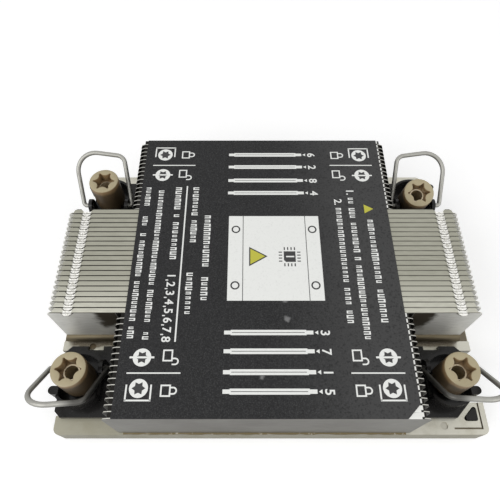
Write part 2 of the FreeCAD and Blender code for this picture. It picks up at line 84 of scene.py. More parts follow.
def angle(name, description, degrees):
    """An angle setting."""
    return bpy.props.FloatProperty(
        name=name, description=description, default=math.radians(degrees), subtype="ANGLE")


def colour(name, description, value):
    """A linear colour setting."""
    return bpy.props.FloatVectorProperty(
        name=name, description=description, default=value, size=3, min=0, max=1, subtype="COLOR")


def level(name, description, value, largest=1.0):
    """A plain number between nothing and the largest useful value."""
    return bpy.props.FloatProperty(
        name=name, description=description, default=value, min=0, max=largest)


def seed(name, description, value):
    """A whole number that fixes what chance draws."""
    return bpy.props.IntProperty(name=name, description=description, default=value)


class HeatsinkMetalSettings(bpy.types.PropertyGroup):
    """Plated base, heat pipes, fins and solder."""

    base_colour: colour("Plate", "Plating of the base plate", (0.61, 0.595, 0.52))
    base_stain: colour("Plate mottling", "Faint darker areas of the plate", (0.43, 0.41, 0.33))
    # Painted shade: the plate's front left and the face of its front edge are darkened to olive
    base_shade: colour("Plate shade", "Olive tint, front left and front edge", (0.285, 0.27, 0.20))
    dimple_place: length("Dimple place", "Of the front right dimple, from the middle", 43.6)
    pipe_colour: colour("Pipe", "Plating of the heat pipes", (0.15, 0.125, 0.08))
    # Brown tint of the pipes by the block and of the plate beside them, and also the painted shade
    # inside the plate's rim
    brown_tint_and_shade: colour("Pipe stain", "Brown tint of the pipes by the block", (0.085, 0.062, 0.034))
    fin_colour: colour("Fin", "Folded sheet of the fins", (0.475, 0.47, 0.395))
    fin_shade: colour("Fin shade", "Darker streaks of the sheet", (0.27, 0.265, 0.215))
    # Painted highlight: the top flanges grow brighter towards the front
    fin_highlight: colour("Fin light", "Brighter sheet towards the front", (0.76, 0.75, 0.66))
    # Painted light: the wings' upright faces get a paler copy of the sheet's colour
    fin_face_light: colour("Fin face", "Upright faces of the wings' fins", (0.90, 0.895, 0.85))
    # Painted shade on the foremost fin's upright face, lighter near its two ends
    front_shade: colour("Front face", "Upright face of the foremost fin", (0.155, 0.148, 0.136))
    front_ends_shade: colour("Front ends", "The same face near its two ends", (0.205, 0.20, 0.185))
    # Painted reflection: dark reflection of the brackets and nuts on the wings' faces next to the
    # block
    fin_dark_reflection: colour("Fin dark", "Tint of the wings next to the block", (0.055, 0.045, 0.032))
    # Painted shade: near black where the gaps between the short fins at the block's ends show
    gap_shade: colour("Gap", "Between the short fins at the block's ends", (0.02, 0.019, 0.017))
    # Painted highlight along the cut edges of the short fins
    edge_highlight: colour("Sheet edge", "Cut edges of the short fins", (0.62, 0.61, 0.56))
    # Painted highlight on the short fins' flanges beside the label
    flange_highlight: colour("Bare flanges", "Short fins' flanges beside the label", (0.76, 0.76, 0.73))
    label_half: length("Label end", "From the middle to the label's ends", 32.7)
    fin_sheet: length("Fin sheet", "Thickness of the folded sheet", 0.3)
    seam_colour: colour("Seam", "Shadow in the fold between two fins", (0.045, 0.042, 0.036))
    fin_pitch: length("Fin pitch", "From one fin to the next", 1.4)
    fin_top: length("Fin top", "Height of the top flanges", 24.0)
    lock_place: length("Lock row", "Where the wing fins lock together, from the middle", 46.4)
    # Painted highlight: bright strip along the locks, where the tongues catch the light
    lock_highlight: colour("Lock", "Bright strip along the locks", (0.95, 0.94, 0.90))
    lock_band: length("Lock band", "Width of the bright strip along the locks", 3.0)
    tongue_root: length("Tongue root", "Width of a lock's tongue at its root", 3.1)
    tongue_tip: length("Tongue tip", "Width of a lock's tongue at its tip", 1.3)
    tongue_reach: length("Tongue reach", "Length of a lock's tongue", 0.8)
    block_half: length("Block end", "From the middle to the short fins' ends", 35.0)
    wing_front: length("Wing front", "From the block's front to the first wing fin's", 23.8)
    solder_colour: colour("Flux", "Flux and solder at the block's foot", (0.15, 0.11, 0.035))
    solder_bright: colour("Solder", "Bare solder between the flux", (0.45, 0.41, 0.33))
    solder_burnt: colour("Burnt flux", "Darkest flux", (0.05, 0.035, 0.015))
    solder_half: length("Solder reach", "Half of the solder line's length", 34.0)
    solder_height: length("Solder height", "How far the bead climbs up the front fin", 0.55)
    solder_seed: seed("Solder seed", "Fixes the bead's shape", 7)


class HeatsinkPlasticSettings(bpy.types.PropertyGroup):
    """Brackets and captive nuts."""

    bracket_colour: colour("Bracket", "Black moulded plastic", (0.006, 0.0055, 0.005))
    dust_colour: colour("Dust", "On the brackets", (0.11, 0.105, 0.10))
    nut_colour: colour("Nut", "Tan moulded plastic", (0.485, 0.42, 0.265))
    # Painted light: a warm glow through the socket's walls; the same colour also tints the fine
    # grain
    nut_glow: colour("Nut glow", "Warm tint of the socket's walls", (0.29, 0.19, 0.095))
    # Painted shade, low on the body
    nut_shade: colour("Nut shade", "Brown shading low on the body", (0.045, 0.032, 0.018))
    insert_colour: colour("Insert", "Metal ring at the nut's bore", (0.60, 0.52, 0.38))
    insert_shade: colour("Insert shade", "Turned marks of the ring", (0.25, 0.19, 0.11))
    nut_radius: length("Nut radius", "Of the nut's head", 4.1)
    neck_radius: length("Neck radius", "Between the head and the barrel", 2.9)
    barrel_radius: length("Barrel radius", "Below the bracket's web", 4.0)
    bore_radius: length("Bore radius", "Of the thread's bore", 1.9)
    ring_radius: length("Insert radius", "Outside of the metal ring", 1.98)
    crest_radius: length("Crest radius", "Of the thread's crests inside the ring", 1.62)
    thread_pitch: length("Thread pitch", "From one crest to the next", 0.7)
    nut_bottom: length("Nut bottom", "Height of the barrel's end", 3.5)
    barrel_top: length("Barrel top", "Height of the barrel's shoulder", 6.1)
    head_bottom: length("Head bottom", "Height of the head's underside", 11.2)
    nut_top: length("Nut top", "Height of the nut's top", 20.5)
    nut_edge: length("Nut edge", "Rounding of the nut's upper edge", 0.35)
    socket_radius: length("Socket radius", "Six-lobe socket across its points", 3.0)
    bulge_radius: length("Bulge radius", "Round flanks between the socket's points", 1.55)
    bulge_centre: length("Bulge centre", "Middle of the flanks, from the axis", 3.57)
    socket_depth: length("Socket depth", "From the top to the socket's floor", 2.8)
    lean_middle: length("Lean middle", "Height about which the loose nut leans", 8.65)
    lean_forwards: angle("Lean forwards", "Of the loose nut at the rear right", 18.0)
    lean_inboard: angle("Lean inboard", "Of the loose nut at the rear right", 4.5)


class HeatsinkWireSettings(bpy.types.PropertyGroup):
    """Swinging wire bails."""

    wire_colour: colour("Wire", "Satin steel wire", (0.42, 0.415, 0.38))
    wire_tarnish: colour("Tarnish", "Duller stretches of the wire", (0.22, 0.215, 0.205))
    # Painted shade on the front bails' inboard legs
    wire_shade: colour("Wire shade", "Stained inboard legs, front bails", (0.06, 0.057, 0.052))
    wire_radius: length("Wire radius", "Of the drawn wire", 0.62)
    inner_end: length("Inner end", "Inboard end of the wire in its ear, from the middle", 40.1)
    outer_end: length("Outer end", "Outboard end of the wire in its ear", 49.9)
    inner_leg: length("Inner leg", "Place of the inboard leg", 38.2)
    outer_leg: length("Outer leg", "Place of the outboard leg", 52.3)
    inner_length: length("Inner length", "From the axis to the loop, inboard", 14.3)
    outer_length: length("Outer length", "From the axis to the loop, outboard", 16.1)
    lean: length("Leg lean", "How far both legs lean outboard", 1.6)
    foot_bend: length("Foot bend", "Where each leg turns in to its ear", 0.9)
    inner_bend: length("Inner bend", "At the loop's inboard corner", 2.3)
    outer_bend: length("Outer bend", "At the loop's outboard corner", 5.4)
    locked_angle: angle("Locked angle", "Swing at the lower end of the joint's range", -5.0)


class HeatsinkPrintSettings(bpy.types.PropertyGroup):
    """Label film and its plain print."""

    film_colour: colour("Film", "Charcoal film", (0.019, 0.019, 0.020))
    # Painted sheen: the film is lightened towards its right side
    film_light: colour("Film sheen", "Lighter right side of the film", (0.058, 0.058, 0.058))
    film_speck: colour("Film grain", "Pale grain of the film", (0.085, 0.085, 0.085))
    film_dark: colour("Film marks", "Dark marks of the film", (0.008, 0.008, 0.008))
    smear_colour: colour("Smears", "Pale smears on the film", (0.42, 0.42, 0.42))
    white_colour: colour("White ink", "Print and panel", (0.96, 0.97, 0.94))
    white_worn: colour("Worn white", "White ink where it is worn", (0.45, 0.45, 0.44))
    ink_colour: colour("Dark ink", "Lines over the white", (0.03, 0.03, 0.03))
    ink_worn: colour("Worn dark", "Dark ink where it is worn", (0.12, 0.12, 0.12))
    yellow_colour: colour("Yellow ink", "Plain triangles", (0.58, 0.56, 0.06))
    yellow_worn: colour("Worn yellow", "Yellow ink where it is worn", (0.5, 0.36, 0.08))
    layer: length("Ink layer", "Height of each layer of print over the last", 0.02)
    word_seed: seed("Word seed", "Fixes the rows of small marks", 11)


class HeatsinkStudioSettings(bpy.types.PropertyGroup):
    """Camera, floor and lights."""

    camera_place: bpy.props.FloatVectorProperty(
        name="Camera", description="Camera's place", default=(-0.003484, -0.057453, 0.128603),
        size=3, subtype="TRANSLATION", precision=5)
    camera_pitch: angle("Pitch", "Camera's turn up from looking straight down", 29.73)
    camera_lens: level("Lens", "Focal length in millimetres", 34.47, 500.0)
    floor_colour: colour("Floor", "Plain pale floor", (0.80, 0.80, 0.80))
    floor_glow: level("Floor glow", "How much the floor shines for the camera", 0.42, 2.0)
    floor_half: length("Floor reach", "Half of the floor's width", 900.0)
    sky_level: level("Sky", "Strength of the even light all round", 0.55, 4.0)
    key_power: level("Key light", "Power of the large light in watts", 1.1, 50.0)
    key_size: length("Key size", "Width of the large light", 340.0)
    fill_power: level("Fill light", "Power of the side light in watts", 0.35, 50.0)


# ---------------------------------------------------------------- node trees
class Value:
    """A number that a node tree works out, with plain arithmetic on it."""

    def __init__(self, tree, socket):
        self.tree = tree
        self.socket = socket

    def sum(self, operation, *terms):
        """One step of arithmetic on numbers and values."""
        steps = dict(enumerate(terms))
        return Tree(self.tree).node("ShaderNodeMath", {"operation": operation}, steps)

    def __add__(self, other):
        return self.sum("ADD", self, other)

    def __radd__(self, other):
        return self.sum("ADD", other, self)

    def __sub__(self, other):
        return self.sum("SUBTRACT", self, other)

    def __rsub__(self, other):
        return self.sum("SUBTRACT", other, self)

    def __mul__(self, other):
        return self.sum("MULTIPLY", self, other)

    def __rmul__(self, other):
        return self.sum("MULTIPLY", other, self)

    def __truediv__(self, other):
        return self.sum("DIVIDE", self, other)

    def __abs__(self):
        return self.sum("ABSOLUTE", self)

    def fraction(self):
        """What is left over a whole number."""
        return self.sum("FRACT", self)

    def lowest(self, other):
        """The smaller of two."""
        return self.sum("MINIMUM", self, other)

    def highest(self, other):
        """The larger of two."""
        return self.sum("MAXIMUM", self, other)


class Tree:
    """A node tree under construction."""

    def __init__(self, tree):
        self.tree = tree

    def node(self, kind, settings=None, values=None, output=0):
        """Any node, by its type, its settings and what its sockets take."""
        node = self.tree.nodes.new(kind)
        for name, value in (settings or {}).items():
            setattr(node, name, value)
        for name, value in (values or {}).items():
            self.give(node.inputs[name], value)
        return Value(self.tree, node.outputs[output])

    def give(self, slot, value):
        """Link a value to a socket, or set it."""
        if isinstance(value, Value):
            self.tree.links.new(value.socket, slot)
        elif slot.type == "RGBA":
            slot.default_value = (*value, 1)
        else:
            slot.default_value = value


class Recipe(Tree):
    """A material under construction, with lengths in millimetres."""

    def __init__(self, name, metallic=0.0, roughness=0.5, coat=0.0, gloss=0.5):
        self.material = bpy.data.materials.new(name)
        self.material.use_nodes = True
        super().__init__(self.material.node_tree)
        self.inputs = self.tree.nodes["Principled BSDF"].inputs
        self.inputs["Metallic"].default_value = metallic
        self.inputs["Roughness"].default_value = roughness
        self.inputs["Coat Weight"].default_value = coat
        self.inputs["Specular IOR Level"].default_value = gloss
        metres = self.node("ShaderNodeTexCoord", output="Object")
        self.point = self.node(
            "ShaderNodeVectorMath", {"operation": "SCALE"}, {0: metres, "Scale": 1 / MM})

    def axes(self):
        """The three coordinates of the shaded point."""
        return [self.node("ShaderNodeSeparateXYZ", values={0: self.point}, output=n)
                for n in range(3)]

    def noise(self, size, detail=2.0, stretch=(1, 1, 1)):
        """Soft noise between 0 and 1, with patches about as large as size."""
        point = self.node(
            "ShaderNodeVectorMath", {"operation": "DIVIDE"},
            {0: self.point, 1: tuple(size * s for s in stretch)})
        return self.node(
            "ShaderNodeTexNoise", values={"Vector": point, "Scale": 1.0, "Detail": detail})

    def cells(self, size):
        """Distance to the nearest of scattered points, in cell widths."""
        return self.node(
            "ShaderNodeTexVoronoi", values={"Vector": self.point, "Scale": 1 / size})

    def ramp(self, value, low, high):
        """Smooth step from 0 at low to 1 at high."""
        return self.node(
            "ShaderNodeMapRange", {"interpolation_type": "SMOOTHSTEP"},
            {"Value": value, "From Min": low, "From Max": high})

    def fall(self, value, low, high):
        """Smooth step from 1 at low to 0 at high."""
        return 1 - self.ramp(value, low, high)

    def mix(self, amount, first, second):
        """Blend of two colours."""
        return self.node(
            "ShaderNodeMix", {"data_type": "RGBA"}, {0: amount, 6: first, 7: second}, output=2)

    def bump(self, height, strength, depth):
        """Relief drawn from a height, with its depth in millimetres."""
        self.give(self.inputs["Normal"], self.node("ShaderNodeBump", values={
            "Height": height, "Strength": strength, "Distance": depth * MM}))

    def finish(self, tone, roughness):
        """Set the colour and the roughness, and return the material."""
        self.give(self.inputs["Base Color"], tone)
        self.give(self.inputs["Roughness"], roughness)
        return self.material


# ---------------------------------------------------------------- materials
# Where the metal's tints, painted shade, painted reflections and painted highlights start and end,
# and where the wires' painted shade does, in millimetres
PLATE_LEFT, PLATE_FRONT = (-38.0, 26.0), (-26.0, -18.0)
PLATE_RECESS = (6.0, 6.2)
DIMPLE_REACH, DIMPLE_FRONT = (1.0, 1.1), (-35.8, -35.6)
BESIDE_PIPES_X, BESIDE_PIPES_Y = (49.5, 51.5), (17.2, 18.0)
PIPE_TINT = (37.5, 42.5)
FRONT_HIGHLIGHT = (-4.0, -14.0)
FRONT_ENDS = (14.0, 34.0)
WING_REFLECTION_X, WING_REFLECTION_Z = (41.0, 43.5), (17.0, 22.0)
WING_TIP = (1.5, 1.2)
SHEET_EDGE_Z = (15.0, 23.0)
LEG_SHADE_X, LEG_SHADE_Y = (41.5, 45.0), (-20.0, -10.0)
# Whole pitches added in front of the block, so that a place along the fins is never negative
SPARE_PITCHES = 8.0
# Bare flanges beside the label: width of the bright strip, and of its dark gaps along the fins
BARE_STRIP, BARE_GAP = 3.2, (0.4, 0.5)
# Pale smears on the film: x, y and size
SMEARS = [(4.8, -11.5, 1.1), (5.1, -16.3, 1.2), (-0.9, -29.8, 0.8)]


def plate_material(s):
    """Satin plating: faint mottling, tooling marks and pits, painted olive shade at the front left
    and on the front edge, painted brown shade inside the rim, and brown beside the pipes."""
    r = Recipe("plated_base", metallic=0.9, roughness=0.42)
    x, y, z = r.axes()
    low, high = (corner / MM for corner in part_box("base_plate"))
    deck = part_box("front_fins")[0].z / MM
    mottle = r.ramp(r.noise(4.5, detail=4.0), 0.42, 0.72)
    fine = r.noise(0.35)
    pits = r.fall(r.cells(2.6), 0.05, 0.12)
    tone = r.mix((mottle * 0.55 + fine * 0.25).lowest(1.0), s.base_colour, s.base_stain)
    tone = r.mix(pits * 0.35, tone, s.base_stain)
    # Painted shade at the front left and on the face of the front edge
    left = r.fall(x + mottle * 14.0, *PLATE_LEFT) * r.fall(y, *PLATE_FRONT)
    edge = r.fall(y, low.y + 0.02, low.y + 0.1)
    tone = r.mix((left * 0.75).highest(edge * 0.7), tone, s.base_shade)
    # Painted shade in the recess inside the rim, with the dimple left out
    inside = r.fall(z, deck - 0.2, deck - 0.05) * r.ramp(z, *PLATE_RECESS)
    inside = inside * r.fall(abs(y), high.y - 0.2, high.y - 0.1)
    inside = inside * r.fall(x, high.x - 0.2, high.x - 0.1)
    dimple = r.fall(abs(x - s.dimple_place / MM), *DIMPLE_REACH) * r.fall(y, *DIMPLE_FRONT)
    inside = inside * (1 - dimple * 0.8)
    tone = r.mix(inside * 0.85, tone, s.brown_tint_and_shade)
    beside = r.fall(abs(y) + mottle * 0.8, *BESIDE_PIPES_Y) * r.fall(abs(x), *BESIDE_PIPES_X)
    tone = r.mix(beside * (0.55 + fine * 0.5), tone, s.brown_tint_and_shade)
    r.bump(fine + mottle * 0.4, strength=0.35, depth=0.02)
    return r.finish(tone, 0.36 + mottle * 0.14 + fine * 0.08)


def pipe_material(s):
    """Plated pipe, tinted brown next to the block."""
    r = Recipe("plated_copper", metallic=0.85, roughness=0.4)
    x = r.axes()[0]
    near = r.fall(abs(x) + r.noise(2.2, detail=3.0) * 3.0, *PIPE_TINT)
    streak = r.noise(1.2, detail=3.0, stretch=(6, 1, 1))
    darkened = near.highest(r.ramp(streak, 0.45, 0.75) * 0.4)
    r.bump(streak, strength=0.3, depth=0.03)
    return r.finish(r.mix(darkened, s.pipe_colour, s.brown_tint_and_shade), 0.42 + streak * 0.2)


def lock_seam(s, x, along, pitch):
    """Distance to the outline of the tongues that reach into the next flange, and to their row."""
    off = abs(abs(x) - s.lock_place / MM)
    share = (pitch - along) / (s.tongue_reach / MM)
    edge = s.tongue_root / MM / 2 - share * ((s.tongue_root - s.tongue_tip) / MM / 2)
    return abs(off - edge).highest(share - 1.0), off


def fin_material(s):
    """Satin folded sheet with painted light and shade: shadowed folds, highlighted locks and bare
    flanges above, pale and dark painted faces below.
    """
    r = Recipe("fin_stock", metallic=0.92, roughness=0.36)
    x, y, z = r.axes()
    pitch = s.fin_pitch / MM
    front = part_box("front_fins")[0].y / MM
    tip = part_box("wing_fin_01")[1].x / MM
    reach = s.block_half / MM
    wings = front + s.wing_front / MM
    along = ((y - front) / pitch + SPARE_PITCHES).fraction() * pitch
    top = r.ramp(z, s.fin_top / MM - 0.12, s.fin_top / MM - 0.04)
    block = r.fall(abs(x), reach + 0.1, reach + 0.2)
    behind = r.ramp(y, wings, wings + 0.1)
    grain = r.noise(0.5, detail=3.0, stretch=(5, 0.8, 1))
    broad = r.noise(9.0, stretch=(1.5, 1, 1))

    # Top flanges with their folds and locks
    flat = r.mix((grain * 0.6 + broad * 0.4).lowest(1.0), s.fin_colour, s.fin_shade)
    # Painted highlight: flanges brighter towards the front, broken up by the grain
    flat = r.mix(r.ramp(y, *FRONT_HIGHLIGHT) * grain * 0.8, flat, s.fin_highlight)
    outline, off = lock_seam(s, x, along, pitch)
    # Painted highlight along the row of locks, in sparkling patches
    band = r.fall(off, s.lock_band / MM * 0.3, s.lock_band / MM * 0.4)
    sparkle = r.ramp(r.noise(0.34), 0.36, 0.55)
    flat = r.mix(band * (0.35 + sparkle * 0.65), flat, s.lock_highlight)
    seam = r.fall(along.lowest(pitch - along), 0.1, 0.21) * (1 - band * 0.5)
    tongue = r.fall(outline, 0.06, 0.16) * r.fall(off, 1.6, 1.75) * 0.8
    uneven = 0.62 + r.noise(3.5, stretch=(2, 0.4, 1)) * 0.75
    uneven = uneven * (1 - r.ramp(x, 0.0, 10.0) * 0.3)
    # Painted shadow in the folds between fins and round the tongues, lighter on the right wing
    flat = r.mix((seam.highest(tongue) * uneven).lowest(1.0), flat, s.seam_colour)

    # Short fins' flanges beside the label: a broken strip of painted highlight, then dark gaps of
    # painted shade
    free = s.label_half / MM
    ends = block * r.ramp(abs(y), abs(wings), abs(wings) + 0.05)
    flat = r.mix(ends * r.ramp(x, free - BARE_STRIP, free - BARE_STRIP + 0.1), flat, s.flange_highlight)
    gaps = r.ramp(x, free - 0.05, free) * r.fall(along, *BARE_GAP)
    flat = r.mix(ends * gaps, flat, s.gap_shade)
    # Painted shade on the flanges at both ends of the block, beyond the label
    ends = ends * r.ramp(x, free + 0.4, free + 0.5).highest(r.fall(x, -free - 0.1, -free))
    flat = r.mix(ends, flat, s.gap_shade)

    # Upright faces, painted light and shade: a paler copy of the sheet on the wings, painted shade
    # on the foremost fin and in the gaps at the block's ends, and a painted dark reflection on the
    # wings next to the block
    face = r.mix(grain * 0.4, s.fin_face_light, s.fin_shade)
    foremost = r.mix(r.ramp(abs(x), *FRONT_ENDS), s.front_shade, s.front_ends_shade)
    face = r.mix(block * (0.8 + broad * 0.2), face, foremost)
    # Painted shade on the upright faces inside the gaps at the block's ends
    channel = block * r.ramp(y, front + 0.1, front + 0.2)
    channel = channel * r.fall(abs(x), reach - 0.08, reach - 0.02)
    channel = channel * r.fall(y, 0.1 - front - pitch, 0.2 - front - pitch)
    face = r.mix(channel, face, s.gap_shade)
    # Painted dark reflection on the wings' upright faces next to the block, high up with a ragged
    # lower edge
    dark_tint = (1 - block) * r.fall(abs(x) + r.noise(2.4, detail=3.0) * 4.0, *WING_REFLECTION_X)
    dark_tint = dark_tint * r.ramp(z + r.noise(3.0, detail=3.0) * 9.0, *WING_REFLECTION_Z)
    face = r.mix(dark_tint * (1 - behind), face, s.fin_dark_reflection)

    tone = r.mix(top, face, flat)
    # Painted highlight on the sheet's cut edges at the block's ends
    cut = r.ramp(along, 0.03, 0.1) * r.fall(along, s.fin_sheet / MM - 0.1, s.fin_sheet / MM)
    tone = r.mix(ends * cut * r.ramp(z, *SHEET_EDGE_Z) * 0.85, tone, s.edge_highlight)
    bend = r.ramp(along, 0.0, 0.42) - r.ramp(along, pitch - 0.14, pitch)
    r.bump(bend * top + grain * 0.14 + band * sparkle * 0.5, strength=0.45, depth=0.12)
    outboard = r.ramp(abs(x), *(tip - inwards for inwards in WING_TIP))
    dull = (outboard * 0.7).highest((1 - block) * (1 - behind) * 0.4)
    r.give(r.inputs["Metallic"], 0.92 - dull * (1 - top))
    return r.finish(tone, 0.38 + grain * 0.16)


def film_material(s):
    """Matt charcoal film with a fine grain, a painted sheen on its right side and a few pale
    smears.
    """
    r = Recipe("printed_film", roughness=0.62, gloss=0.22)
    x = r.axes()[0]
    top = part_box("label")[1].z / MM
    grain = r.noise(0.22)
    # Painted sheen that lightens the right side of the film
    sheen = r.ramp(x + r.noise(9.0) * 8.0, 4.0, 30.0)
    tone = r.mix(sheen, s.film_colour, s.film_light)
    tone = r.mix(r.ramp(grain, 0.42, 0.75) * 0.5, tone, s.film_speck)
    tone = r.mix(r.fall(r.noise(0.5), 0.3, 0.5) * 0.5, tone, s.film_dark)
    for smear_x, smear_y, size in SMEARS:
        middle = {0: r.point, 1: (smear_x, smear_y, top)}
        off = r.node("ShaderNodeVectorMath", {"operation": "DISTANCE"}, middle, output="Value")
        patch = r.fall(off + r.noise(0.7, detail=3.0) * size, size * 0.7, size * 1.4)
        tone = r.mix(patch * 0.45, tone, s.smear_colour)
    r.bump(grain, strength=0.25, depth=0.02)
    return r.finish(tone, 0.56 + grain * 0.16)


def bracket_material(s):
    """Glossy black moulding with a light surface ripple and dust."""
    r = Recipe("black_plastic", roughness=0.25, coat=0.06, gloss=0.25)
    ripple = r.noise(1.8)
    dust = r.ramp(r.noise(0.3), 0.62, 0.8)
    tone = r.mix(dust * 0.18 + ripple * 0.1, s.bracket_colour, s.dust_colour)
    r.bump(ripple + dust * 0.2, strength=0.25, depth=0.06)
    return r.finish(tone, 0.2 + dust * 0.25 + ripple * 0.08)


def nut_material(s):
    """Tan moulding with painted shade low on the body and down the socket, and a painted warm glow
    on the socket's walls.
    """
    r = Recipe("tan_plastic", roughness=0.42)
    cloud = r.noise(1.6, detail=3.0)
    grain = r.noise(0.2)
    depth = r.node("ShaderNodeAttribute", {"attribute_name": "depth"}, output="Fac")
    # Painted shade from the rings' depth: dark low on the body and down the socket, with a painted
    # warm glow on the socket's walls halfway
    stage = depth + (cloud - 0.5) * 0.3
    tone = r.mix(r.ramp(stage, 0.0, 0.5), s.nut_colour, s.nut_glow)
    tone = r.mix(r.ramp(stage, 0.5, 1.0), tone, s.nut_shade)
    tone = r.mix(grain * 0.2, tone, s.nut_glow)
    r.bump(cloud + grain * 0.3, strength=0.3, depth=0.05)
    return r.finish(tone, 0.34 + cloud * 0.14)


def insert_material(s):
    """Bright turned ring at the nut's bore."""
    r = Recipe("nut_insert", metallic=1.0, roughness=0.3)
    turned = r.noise(0.25, stretch=(1, 1, 0.3))
    r.bump(turned, strength=0.3, depth=0.03)
    return r.finish(r.mix(turned * 0.5, s.insert_colour, s.insert_shade), 0.22 + turned * 0.2)


def wire_material(s):
    """Drawn steel with fine marks and painted shade on the front bails' inboard legs."""
    r = Recipe("steel_wire", metallic=0.85, roughness=0.45)
    x, y = r.axes()[:2]
    drawn = r.noise(0.4, detail=3.0, stretch=(1, 2.5, 2.5))
    tarnish = r.ramp(r.noise(3.0), 0.5, 0.8)
    tone = r.mix(drawn * 0.35 + tarnish * 0.25, s.wire_colour, s.wire_tarnish)
    # Painted shade on the inboard legs of the front bails
    darkened = r.fall(abs(x), *LEG_SHADE_X) * r.fall(y, *LEG_SHADE_Y)
    tone = r.mix(darkened * 0.85, tone, s.wire_shade)
    r.bump(drawn, strength=0.25, depth=0.03)
    return r.finish(tone, 0.42 + drawn * 0.14)


def ink_material(name, tint, worn):
    """Printed ink with slight wear."""
    r = Recipe(name, roughness=0.5)
    wear = r.ramp(r.noise(0.5, detail=3.0), 0.5, 0.85)
    fleck = r.noise(0.18)
    r.bump(fleck, strength=0.15, depth=0.01)
    return r.finish(r.mix(wear * 0.2 + fleck * 0.06, tint, worn), 0.46 + fleck * 0.12)


def solder_material(s):
    """Brown flux with patches of bare solder."""
    r = Recipe("solder_flux", roughness=0.3, coat=0.3)
    patch = r.ramp(r.noise(0.9, detail=3.0), 0.6, 0.72)
    tone = r.mix(patch, s.solder_colour, s.solder_bright)
    tone = r.mix(r.noise(0.3) * 0.4, tone, s.solder_burnt)
    r.bump(r.noise(0.5, detail=3.0), strength=0.5, depth=0.08)
    r.give(r.inputs["Metallic"], patch * 0.8)
    return r.finish(tone, 0.25 + patch * 0.2)


def paint(node, material):
    """Give one node of the construction its only material."""
    mesh = frame["nodes"][node].data
    mesh.materials.clear()
    mesh.materials.append(material)


# ---------------------------------------------------------------- meshes
def make_object(name, points, faces, materials, smooth=False):
    """A finished piece at the origin, its place in its points, which are in metres."""
    mesh = bpy.data.meshes.new(name)
    mesh.from_pydata([tuple(p) for p in points], [], faces)
    for material in materials:
        mesh.materials.append(material)
    mesh.validate()
    if smooth:
        mesh.shade_smooth()
    mesh.update()
    piece = bpy.data.objects.new(name, mesh)
    bpy.context.scene.collection.objects.link(piece)
    return piece


def bands(rings, around):
    """Faces between neighbouring rings that have the same number of points around."""
    faces = []
    for ring in range(rings - 1):
        for k in range(around):
            a, b = ring * around + k, ring * around + (k + 1) % around
            faces.append((a, b, b + around, a + around))
    return faces


def run_tree(piece, tree, values):
    """Turn a piece into what a node tree makes of it, with the tree's inputs set by name."""
    modifier = piece.modifiers.new(tree.name, "NODES")
    modifier.node_group = tree
    inputs = [item for item in tree.interface.items_tree if item.in_out == "INPUT"]
    for item in inputs:
        if item.name in values:
            modifier[item.identifier] = values[item.name]
    bpy.context.view_layer.update()
    evaluated = piece.evaluated_get(bpy.context.evaluated_depsgraph_get())
    mesh = bpy.data.meshes.new_from_object(evaluated)
    piece.modifiers.remove(modifier)
    piece.data = mesh
    return piece


def join(name, pieces):
    """Several pieces made one."""
    with bpy.context.temp_override(active_object=pieces[0], selected_editable_objects=pieces):
        bpy.ops.object.join()
    pieces[0].name = name
    return pieces[0]


def joint(name):
    """The construction's joint of this name."""
    return next(j for j in frame["joints"] if j["name"] == name)


# ---------------------------------------------------------------- nuts
AROUND_NUT, NUT_CREASE = 120, math.radians(38)
LOBE = math.pi / 3
BODY, INSERT = 0, 1
# A ring's place on the socket's wall, grown outwards by an amount
Wall = namedtuple("Wall", "growth")


def star_radius(s, turn):
    """Distance from the axis to the six-lobe socket's wall in one direction."""
    off = LOBE / 2 - abs((turn + LOBE / 2) % LOBE - LOBE / 2)
    reach = s.bulge_radius ** 2 - (s.bulge_centre * math.sin(off)) ** 2
    if reach <= 0:
        return s.socket_radius
    return min(s.socket_radius, s.bulge_centre * math.cos(off) - math.sqrt(reach))


def nut_rings(s):
    """Rings of the nut from its lower bore, round its outside and down the socket.

    Each has a radius or a Wall, a height, how dark its shade is, and its part."""
    radius, edge, top, head = s.nut_radius, s.nut_edge, s.nut_top, s.head_bottom
    foot, chamfer, lip, lead_in = s.nut_bottom, 0.3 * MM, 0.15 * MM, 0.25 * MM
    shade_low, shade_high = head + 3.0 * MM, top - 2.2 * MM
    floor = top - s.socket_depth
    return [
        (s.crest_radius, foot, 1.0, INSERT),
        (s.ring_radius + 0.4 * MM, foot, 1.0, INSERT),
        (s.barrel_radius - chamfer, foot, 0.9, BODY),
        (s.barrel_radius, foot + chamfer, 0.9, BODY),
        (s.barrel_radius, s.barrel_top, 0.9, BODY),
        (s.neck_radius, s.barrel_top, 1.0, BODY),
        (s.neck_radius, head, 1.0, BODY),
        (radius - lip, head, 0.95, BODY),
        (radius, head + lip, 1.0, BODY),
        (radius, shade_low, 1.0, BODY),
        (radius, shade_high, 0.92, BODY),
        (radius, top - edge, 0.5, BODY),
        (radius - 0.3 * edge, top - 0.3 * edge, 0.0, BODY),
        (radius - edge, top, 0.0, BODY),
        (Wall(0.22 * MM), top, 0.05, BODY),
        (Wall(0.06 * MM), top - 0.07 * MM, 0.2, BODY),
        (Wall(0.0), top - lead_in, 0.4, BODY),
        (Wall(0.0), top - s.socket_depth / 2, 0.62, BODY),
        (Wall(0.0), floor, 0.7, BODY),
        (s.ring_radius - 0.05 * MM, floor, 0.5, INSERT),
        (s.crest_radius, floor - 0.05 * MM, 0.5, INSERT),
    ]


def thread_rings(s):
    """Crests and roots of the bore's thread, from below the socket down to the nut's end."""
    top = s.nut_top - s.socket_depth - 0.3 * MM
    rings = []
    for k in range(int((top - s.nut_bottom) / s.thread_pitch)):
        height = top - k * s.thread_pitch
        rings.append((s.crest_radius, height, 1.0, INSERT))
        rings.append((s.bore_radius, height - s.thread_pitch / 2, 1.0, INSERT))
    return rings + [(s.crest_radius, s.nut_bottom, 1.0, INSERT)]


